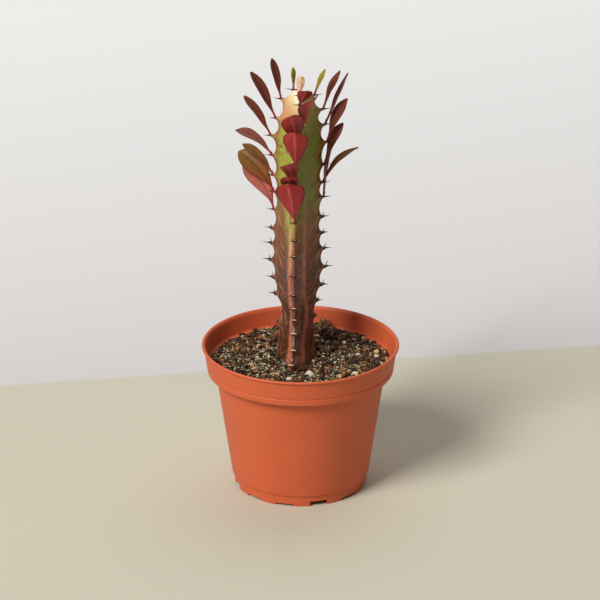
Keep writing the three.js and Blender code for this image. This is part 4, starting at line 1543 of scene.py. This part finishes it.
def leaf_skin(name, gloss, upper, lower, midrib, petiole, margin, flush):
    """Waxy leaf blade: satin upper face, a richer lower face with a bright
    raised midrib, faint side veins, darker margins, a flushed base and a red
    stalk."""
    material, tree, shader = new_material(name, 0.42, 1.45)
    shader.inputs["Specular IOR Level"].default_value = gloss
    coords = add_node(tree, "TexCoord").outputs["Object"]
    blade = add_node(tree, "Attribute", attribute_name="blade")
    traits = add_node(tree, "SeparateColor", {"Color": blade.outputs["Color"]}).outputs
    across, up, face = traits[0], traits[1], traits[2]
    centred = add_node(tree, "Math", {0: across, 1: -0.5}, operation="ADD").outputs[0]
    off = add_node(tree, "Math", {0: centred}, operation="ABSOLUTE").outputs[0]
    mottle = add_node(tree, "TexNoise", {"Vector": coords, "Scale": per_mm(1.8), "Detail": 4.0}).outputs[0]
    fine = add_node(tree, "TexNoise", {"Vector": coords, "Scale": per_mm(0.4), "Detail": 3.0}).outputs[0]

    # Side veins leave the midrib forwards, about 2 mm apart on a 27 mm blade.
    slant = add_node(tree, "Math", {0: off, 1: -0.55, 2: up}, operation="MULTIPLY_ADD").outputs[0]
    count = add_node(tree, "Math", {0: slant, 1: 82.0}, operation="MULTIPLY").outputs[0]
    wave = add_node(tree, "Math", {0: count}, operation="SINE").outputs[0]
    rib = add_node(
        tree,
        "MapRange",
        {"Value": off, "From Min": 0.02, "From Max": 0.085, "To Min": 1.0, "To Max": 0.0},
        interpolation_type="SMOOTHSTEP",
    ).outputs[0]

    # What shows where, as (measure, where it starts, where it ends, how much of it
    # shows at the two): the side veins, how much of the midrib shows under and on
    # the blade, the margins, the flushed base and the stalk.
    vein, under, rim, base, stalk = [
        add_node(
            tree,
            "MapRange",
            {"Value": measure, "From Min": start, "From Max": end, "To Min": first, "To Max": last},
        ).outputs[0]
        for measure, start, end, first, last in (
            (wave, 0.55, 1.0, 0.0, 0.16),
            (face, 0.0, 1.0, 0.9, 0.45),
            (off, 0.43, 0.49, 0.0, 0.85),
            (up, 0.2, 0.85, 0.6, 0.0),
            (up, 0.06, 0.22, 0.95, 0.0),
        )
    ]
    shown = add_node(tree, "Math", {0: rib, 1: under}, operation="MULTIPLY").outputs[0]
    sides, line = [
        add_node(
            tree,
            "Mix",
            {MIX_FACTOR: face, MIX_FIRST: opaque(below), MIX_SECOND: opaque(above)},
            data_type="RGBA",
        ).outputs[MIX_RESULT]
        for below, above in ((lower, upper), (midrib, margin))
    ]
    painted = sides
    for share, over in (
        (vein, line), (shown, line), (rim, opaque(margin)), (base, opaque(flush)), (stalk, opaque(petiole))
    ):
        painted = add_node(
            tree, "Mix", {MIX_FACTOR: share, MIX_FIRST: painted, MIX_SECOND: over}, data_type="RGBA"
        ).outputs[MIX_RESULT]
    shade = add_node(
        tree, "MapRange", {"Value": mottle, "From Min": 0.3, "From Max": 0.7, "To Min": 0.78, "To Max": 1.18}
    ).outputs[0]
    final = add_node(tree, "HueSaturation", {"Value": shade, "Color": painted})
    tree.links.new(final.outputs[0], shader.inputs["Base Color"])
    relief = add_node(tree, "Math", {0: wave, 1: 0.18, 2: fine}, operation="MULTIPLY_ADD").outputs[0]
    bump = add_node(tree, "Bump", {"Strength": 0.35, "Distance": 0.12 * MM, "Height": relief})
    tree.links.new(bump.outputs[0], shader.inputs["Normal"])
    return material


class EUPHORBIA_OT_leaves(bpy.types.Operator):
    """Builds every leaf, each as its own piece"""

    bl_idname = "euphorbia.leaves"
    bl_label = "Leaves"

    def execute(self, context):
        settings = context.scene.euphorbia_leaves
        skins = {}
        for kind, (name, gloss, colours) in LEAF_SKINS.items():
            look = {"upper": settings.wine, "lower": settings.crimson, "petiole": settings.petiole}
            look.update({part: linear(colour) for part, colour in colours.items()})
            skins[kind] = leaf_skin(name, gloss, **look)
        draw = random.Random(19)
        for rib in RIBS:
            for number, shape in enumerate(rib["leaves"]):
                rings, traits = leaf_rings(rib, number, shape, settings, draw.uniform(0, 2 * math.pi))
                leaf = rolled(rings, {"blade": traits})
                name = f"leaf_{rib['side']}_{number + 1}"
                settle(leaf, name, skins[shape[6]], "leafy_stem", 60)
        return {"FINISHED"}


# ------------------------------------------------------------- spines and scars

# A pair of spines: the swing of each to its side, how much it rises, and how far
# inside its tooth it starts. The oldest, below this zone, have worn to half.
SPINE_SPREAD = 46
SPINE_RISE = 0.26
SPINE_INSET = 1.2
WORN_SPINE, WORN_ZONE = 0.5, (100, 112)

# A shield: its half width and half height, the share of its length that is inside
# the tooth, and its size where the tooth still has its leaf.
SHIELD_WIDTH, SHIELD_HEIGHT = 0.95, 1.45
SHIELD_INSET = 0.62
LEAFY_SHIELD = 0.65

# A leaf scar is a half ring that leans back. Those below this height are larger.
SCAR_RING, SCAR_TUBE = 0.82, 0.42
SCAR_LEAN = math.radians(24)
SCAR_STRETCH = (1.12, 0.95, 0.62)
LARGE_SCAR_TOP, LARGE_SCAR, SMALL_SCAR = 112, 1.05, 0.65
SCAR_INSET = 0.75


def tapered(power):
    """A point of unit length and radius, with a tone that runs along it. It
    is fuller the lower the power is."""
    rings, tones = [], []
    for row in range(9):
        share = row / 8
        radius = (1 - share) ** power + 0.02
        bow = 0.05 * share**2
        circle = [math.radians(45 * i) for i in range(8)]
        rings.append([Vector((radius * math.cos(a), radius * math.sin(a) + bow, share)) / MM for a in circle])
        tones.append([(share, share, share, 1.0)] * 8)
    return rolled(rings, {"tone": tones})


class EUPHORBIA_OT_spines(bpy.types.Operator):
    """Sets a pair of spines and their horny shield on every tooth"""

    bl_idname = "euphorbia.spines"
    bl_label = "Spines"

    def execute(self, context):
        settings = context.scene.euphorbia_spines
        radius, beak = settings.radius / MM, settings.shield / MM
        draw = random.Random(3)
        spines, shields = [], []
        for rib in RIBS:
            for number, z in enumerate(rib["teeth"]):
                worn = lerp(WORN_SPINE, 1, smoothstep(z, *WORN_ZONE))
                length = worn * settings.length / MM * draw.uniform(0.85, 1.15)
                root = tooth_tip(rib, number, SPINE_INSET) - Vector((0, 0, 0.2))
                for swing in (-SPINE_SPREAD, SPINE_SPREAD):
                    aim = outward(rib, z, swing)
                    aim.z = SPINE_RISE + draw.uniform(-0.05, 0.05)
                    turn = aim.to_track_quat("Z", "Y").to_matrix().to_4x4()
                    scale = Matrix.Diagonal((radius, radius, length, 1))
                    spines.append((0, Matrix.Translation(root) @ turn @ scale, 0))
                aim = outward(rib, z) + Vector((0, 0, 0.12))
                turn = aim.to_track_quat("Z", "X").to_matrix().to_4x4()
                foot = tooth_tip(rib, number, SHIELD_INSET * beak) - Vector((0, 0, 0.3))
                size = LEAFY_SHIELD if number < len(rib["leaves"]) else 1.0
                scale = Matrix.Diagonal((SHIELD_WIDTH * size, SHIELD_HEIGHT * size, worn * beak, 1))
                shields.append((0, Matrix.Translation(foot) @ turn @ scale, 0))
        # Hard plant horn: faintly shiny, near-black at the foot, bleached grey at
        # the point.
        stops = ((0, 0x1E1210), (0.45, 0x2C1C19), (0.72, 0x574A44), (1, 0xA79C92))
        horn = toned("horny_spines", stops, 0.5, 1.5)
        thin = strewn([tapered(0.8)], spines)
        settle(thin, "spines", horn, "leafy_stem", 60)
        # The same horn as a thick scab: red-brown where it leaves the skin, dark at
        # its tip.
        stops = ((0, 0x5A2A22), (0.5, 0x38201B), (1, 0x1F1412))
        bark = toned("horny_shields", stops, 0.55, 1.5)
        beaks = strewn([tapered(0.55)], shields)
        settle(beaks, "spine_shields", bark, "leafy_stem", 60)
        return {"FINISHED"}


class EUPHORBIA_OT_leaf_scars(bpy.types.Operator):
    """Sets a pale crescent over each spine pair whose leaf has dropped"""

    bl_idname = "euphorbia.leaf_scars"
    bl_label = "Leaf Scars"

    def execute(self, context):
        deselect()
        bpy.ops.mesh.primitive_torus_add(
            major_radius=SCAR_RING,
            minor_radius=SCAR_TUBE,
            major_segments=20,
            minor_segments=10,
            rotation=(math.pi / 2, 0, 0),
        )
        crescent = context.object
        bpy.ops.object.transform_apply(location=True, rotation=True, scale=True)
        bpy.ops.object.mode_set(mode="EDIT")
        bpy.ops.mesh.select_all(action="SELECT")
        bpy.ops.mesh.bisect(plane_co=(0, 0, 0.1), plane_no=(0, 0, 1), use_fill=True, clear_inner=True)
        bpy.ops.object.mode_set(mode="OBJECT")
        draw = random.Random(29)
        placements = []
        for rib in RIBS:
            front = rib["side"] == "front"
            for number in range(len(rib["leaves"]), len(rib["teeth"])):
                z = rib["teeth"][number]
                turn = outward(rib, z).to_track_quat("-Y", "Z").to_matrix().to_4x4()
                tilt = Matrix.Rotation(SCAR_LEAN, 4, "X")
                size = draw.uniform(0.85, 1.15) * (LARGE_SCAR if z < LARGE_SCAR_TOP else SMALL_SCAR)
                at = tooth_tip(rib, number, SCAR_INSET) + Vector((0, 0, 0.15))
                scale = Matrix.Diagonal((*(size * s for s in SCAR_STRETCH), 1))
                tone = draw.uniform(0.45, 1) if front else draw.uniform(0, 0.4)
                placements.append((0, Matrix.Translation(at) @ turn @ tilt @ scale, tone))
        scars = strewn([crescent], placements)
        # Dry cork over a healed scar: pale and dull, browner on the side ribs.
        stops = ((0, 0x6E4436), (0.4, 0xB98A68), (0.7, 0xE2C99A), (1, 0xF1E4C2))
        cork = toned("dry_leaf_scar", stops, 0.6, 0.8)
        settle(scars, "leaf_scars", cork, "leafy_stem", 60)
        return {"FINISHED"}


# ----------------------------------------------------------------------- studio

CAMERA_TARGET = Vector((-0.25, 0, 109.13))
CAMERA_DISTANCE = 2000
CAMERA_PITCH = math.radians(22.69)

# Two points on the far edge of the table, how sharp that edge is, and how far
# beyond it the painted shade on the backdrop fades, so that it grows lighter.
TABLE_EDGE = (Vector((-179.6, 127.7, 0)), Vector((183.9, 189.4, 0)))
EDGE_BLUR = 2
BACKDROP_DEPTH = 700

# The soft lights, with their place, size and colour, and the point they face: the
# key at the upper left in front, the broad one above and behind.
LIGHT_TARGET = Vector((0, 0, 90))
KEY_PLACE, KEY_SIZE, KEY_COLOUR = Vector((-2980, -3320, 4100)), 2300, (1.0, 0.98, 0.94)
BACK_PLACE, BACK_SIZE, BACK_COLOUR = Vector((300, 1500, 2400)), 3000, (1.0, 0.98, 0.96)
AIR_COLOUR, AIR_STRENGTH = 0xF2F1EE, 0.17


def area_light(name, place, size, power, colour):
    """A square soft light at a place in millimetres, aimed at the plant."""
    aim = (LIGHT_TARGET - place).to_track_quat("-Z", "Y").to_euler()
    bpy.ops.object.light_add(type="AREA", location=place * MM, rotation=aim)
    light = bpy.context.object
    light.name = name
    light.data.size = size * MM
    light.data.energy = power
    light.data.color = colour


def painted_table(table, backdrop):
    """Matt painted board up to the table's far edge, and a soft pale grey paper
    beyond it, with painted shade that is darkest at the edge and fades with distance."""
    material, tree, shader = new_material("matt_painted_table", 0.8, 1.45)
    shader.inputs["Specular IOR Level"].default_value = 0.2
    coords = add_node(tree, "TexCoord").outputs["Object"]
    left, right = TABLE_EDGE
    normal = (right - left).cross(Vector((0, 0, -1))).normalized()
    dot = add_node(tree, "VectorMath", {0: coords, 1: normal}, operation="DOT_PRODUCT").outputs["Value"]
    start = left.dot(normal) * MM
    beyond = add_node(
        tree,
        "MapRange",
        {"Value": dot, "From Min": start - EDGE_BLUR * MM, "From Max": start + EDGE_BLUR * MM},
        interpolation_type="SMOOTHSTEP",
    ).outputs[0]
    away = add_node(
        tree, "MapRange", {"Value": dot, "From Min": start, "From Max": start + BACKDROP_DEPTH * MM}
    ).outputs[0]
    far = add_node(tree, "Math", {0: away, 1: 0.75}, operation="POWER").outputs[0]
    # Painted shade: the paper is darker next to the table's edge.
    painted_edge_shade = opaque((0.72 * backdrop[0], 0.69 * backdrop[1], 0.695 * backdrop[2]))
    paper = add_node(
        tree, "Mix", {MIX_FACTOR: far, MIX_FIRST: painted_edge_shade, MIX_SECOND: opaque(backdrop)}, data_type="RGBA"
    ).outputs[MIX_RESULT]
    mixed = add_node(
        tree,
        "Mix",
        {MIX_FACTOR: beyond, MIX_FIRST: opaque(table), MIX_SECOND: paper},
        data_type="RGBA",
    )
    tree.links.new(mixed.outputs[MIX_RESULT], shader.inputs["Base Color"])
    return material


class EUPHORBIA_OT_studio(bpy.types.Operator):
    """Sets the floor, the soft lights and the camera"""

    bl_idname = "euphorbia.studio"
    bl_label = "Studio"

    def execute(self, context):
        settings = context.scene.euphorbia_studio
        deselect()
        bpy.ops.mesh.primitive_plane_add(size=12)
        floor = context.object
        floor.name = "floor"
        floor.data.materials.append(painted_table(settings.floor, settings.backdrop))
        area_light("key", KEY_PLACE, KEY_SIZE, settings.key_power, KEY_COLOUR)
        area_light("back", BACK_PLACE, BACK_SIZE, settings.back_power, BACK_COLOUR)
        world = bpy.data.worlds.new("studio_air")
        context.scene.world = world
        world.use_nodes = True
        world.node_tree.nodes.clear()
        air = add_node(
            world.node_tree,
            "Background",
            {"Color": opaque(linear(AIR_COLOUR)), "Strength": AIR_STRENGTH},
        )
        add_node(world.node_tree, "OutputWorld", {"Surface": air.outputs[0]})
        back = Vector((0, -math.cos(CAMERA_PITCH), math.sin(CAMERA_PITCH))) * CAMERA_DISTANCE
        bpy.ops.object.camera_add(
            location=(CAMERA_TARGET + back) * MM, rotation=(math.radians(90) - CAMERA_PITCH, 0, 0)
        )
        camera = context.object
        camera.name = "photo_camera"
        camera.data.lens = settings.lens
        camera.data.sensor_width = 36
        camera.data.clip_end = 100
        context.scene.camera = camera
        context.scene.view_settings.view_transform = "Standard"
        return {"FINISHED"}


# ------------------------------------------------------------------------ panel

PIECE_OPERATORS = (
    EUPHORBIA_OT_nursery_pot,
    EUPHORBIA_OT_potting_mix,
    EUPHORBIA_OT_peat_crumbs,
    EUPHORBIA_OT_grit_flecks,
    EUPHORBIA_OT_perlite,
    EUPHORBIA_OT_root_fibres,
    EUPHORBIA_OT_stem,
    EUPHORBIA_OT_leaves,
    EUPHORBIA_OT_spines,
    EUPHORBIA_OT_leaf_scars,
    EUPHORBIA_OT_studio,
)

SETTINGS = {
    "nursery_pot": NurseryPotSettings,
    "potting_mix": PottingMixSettings,
    "euphorbia_stem": StemSettings,
    "euphorbia_leaves": LeafSettings,
    "euphorbia_spines": SpineSettings,
    "euphorbia_studio": StudioSettings,
}


class EUPHORBIA_PT_pieces(bpy.types.Panel):
    """Lists the settings and the pieces of the potted euphorbia"""

    bl_label = "Potted Euphorbia"
    bl_idname = "EUPHORBIA_PT_pieces"
    bl_space_type = "VIEW_3D"
    bl_region_type = "UI"
    bl_category = "Euphorbia"

    def draw(self, context):
        for name, group in SETTINGS.items():
            box = self.layout.box()
            for prop in group.__annotations__:
                box.prop(getattr(context.scene, name), prop)
        for operator in PIECE_OPERATORS:
            self.layout.operator(operator.bl_idname)


def register():
    """Registers the settings, the operators and the panel."""
    for name, group in SETTINGS.items():
        bpy.utils.register_class(group)
        setattr(bpy.types.Scene, name, PointerProperty(type=group))
    for operator in PIECE_OPERATORS:
        bpy.utils.register_class(operator)
    bpy.utils.register_class(EUPHORBIA_PT_pieces)


def unregister():
    """Takes the panel, the operators and the settings away again."""
    bpy.utils.unregister_class(EUPHORBIA_PT_pieces)
    for operator in reversed(PIECE_OPERATORS):
        bpy.utils.unregister_class(operator)
    for name, group in SETTINGS.items():
        delattr(bpy.types.Scene, name)
        bpy.utils.unregister_class(group)


def main():
    register()
    bpy.ops.euphorbia.nursery_pot()
    bpy.ops.euphorbia.potting_mix()
    bpy.ops.euphorbia.peat_crumbs()
    bpy.ops.euphorbia.grit_flecks()
    bpy.ops.euphorbia.perlite()
    bpy.ops.euphorbia.root_fibres()
    bpy.ops.euphorbia.stem()
    bpy.ops.euphorbia.leaves()
    bpy.ops.euphorbia.spines()
    bpy.ops.euphorbia.leaf_scars()
    bpy.ops.euphorbia.studio()
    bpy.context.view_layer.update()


if __name__ == "__main__":
    main()
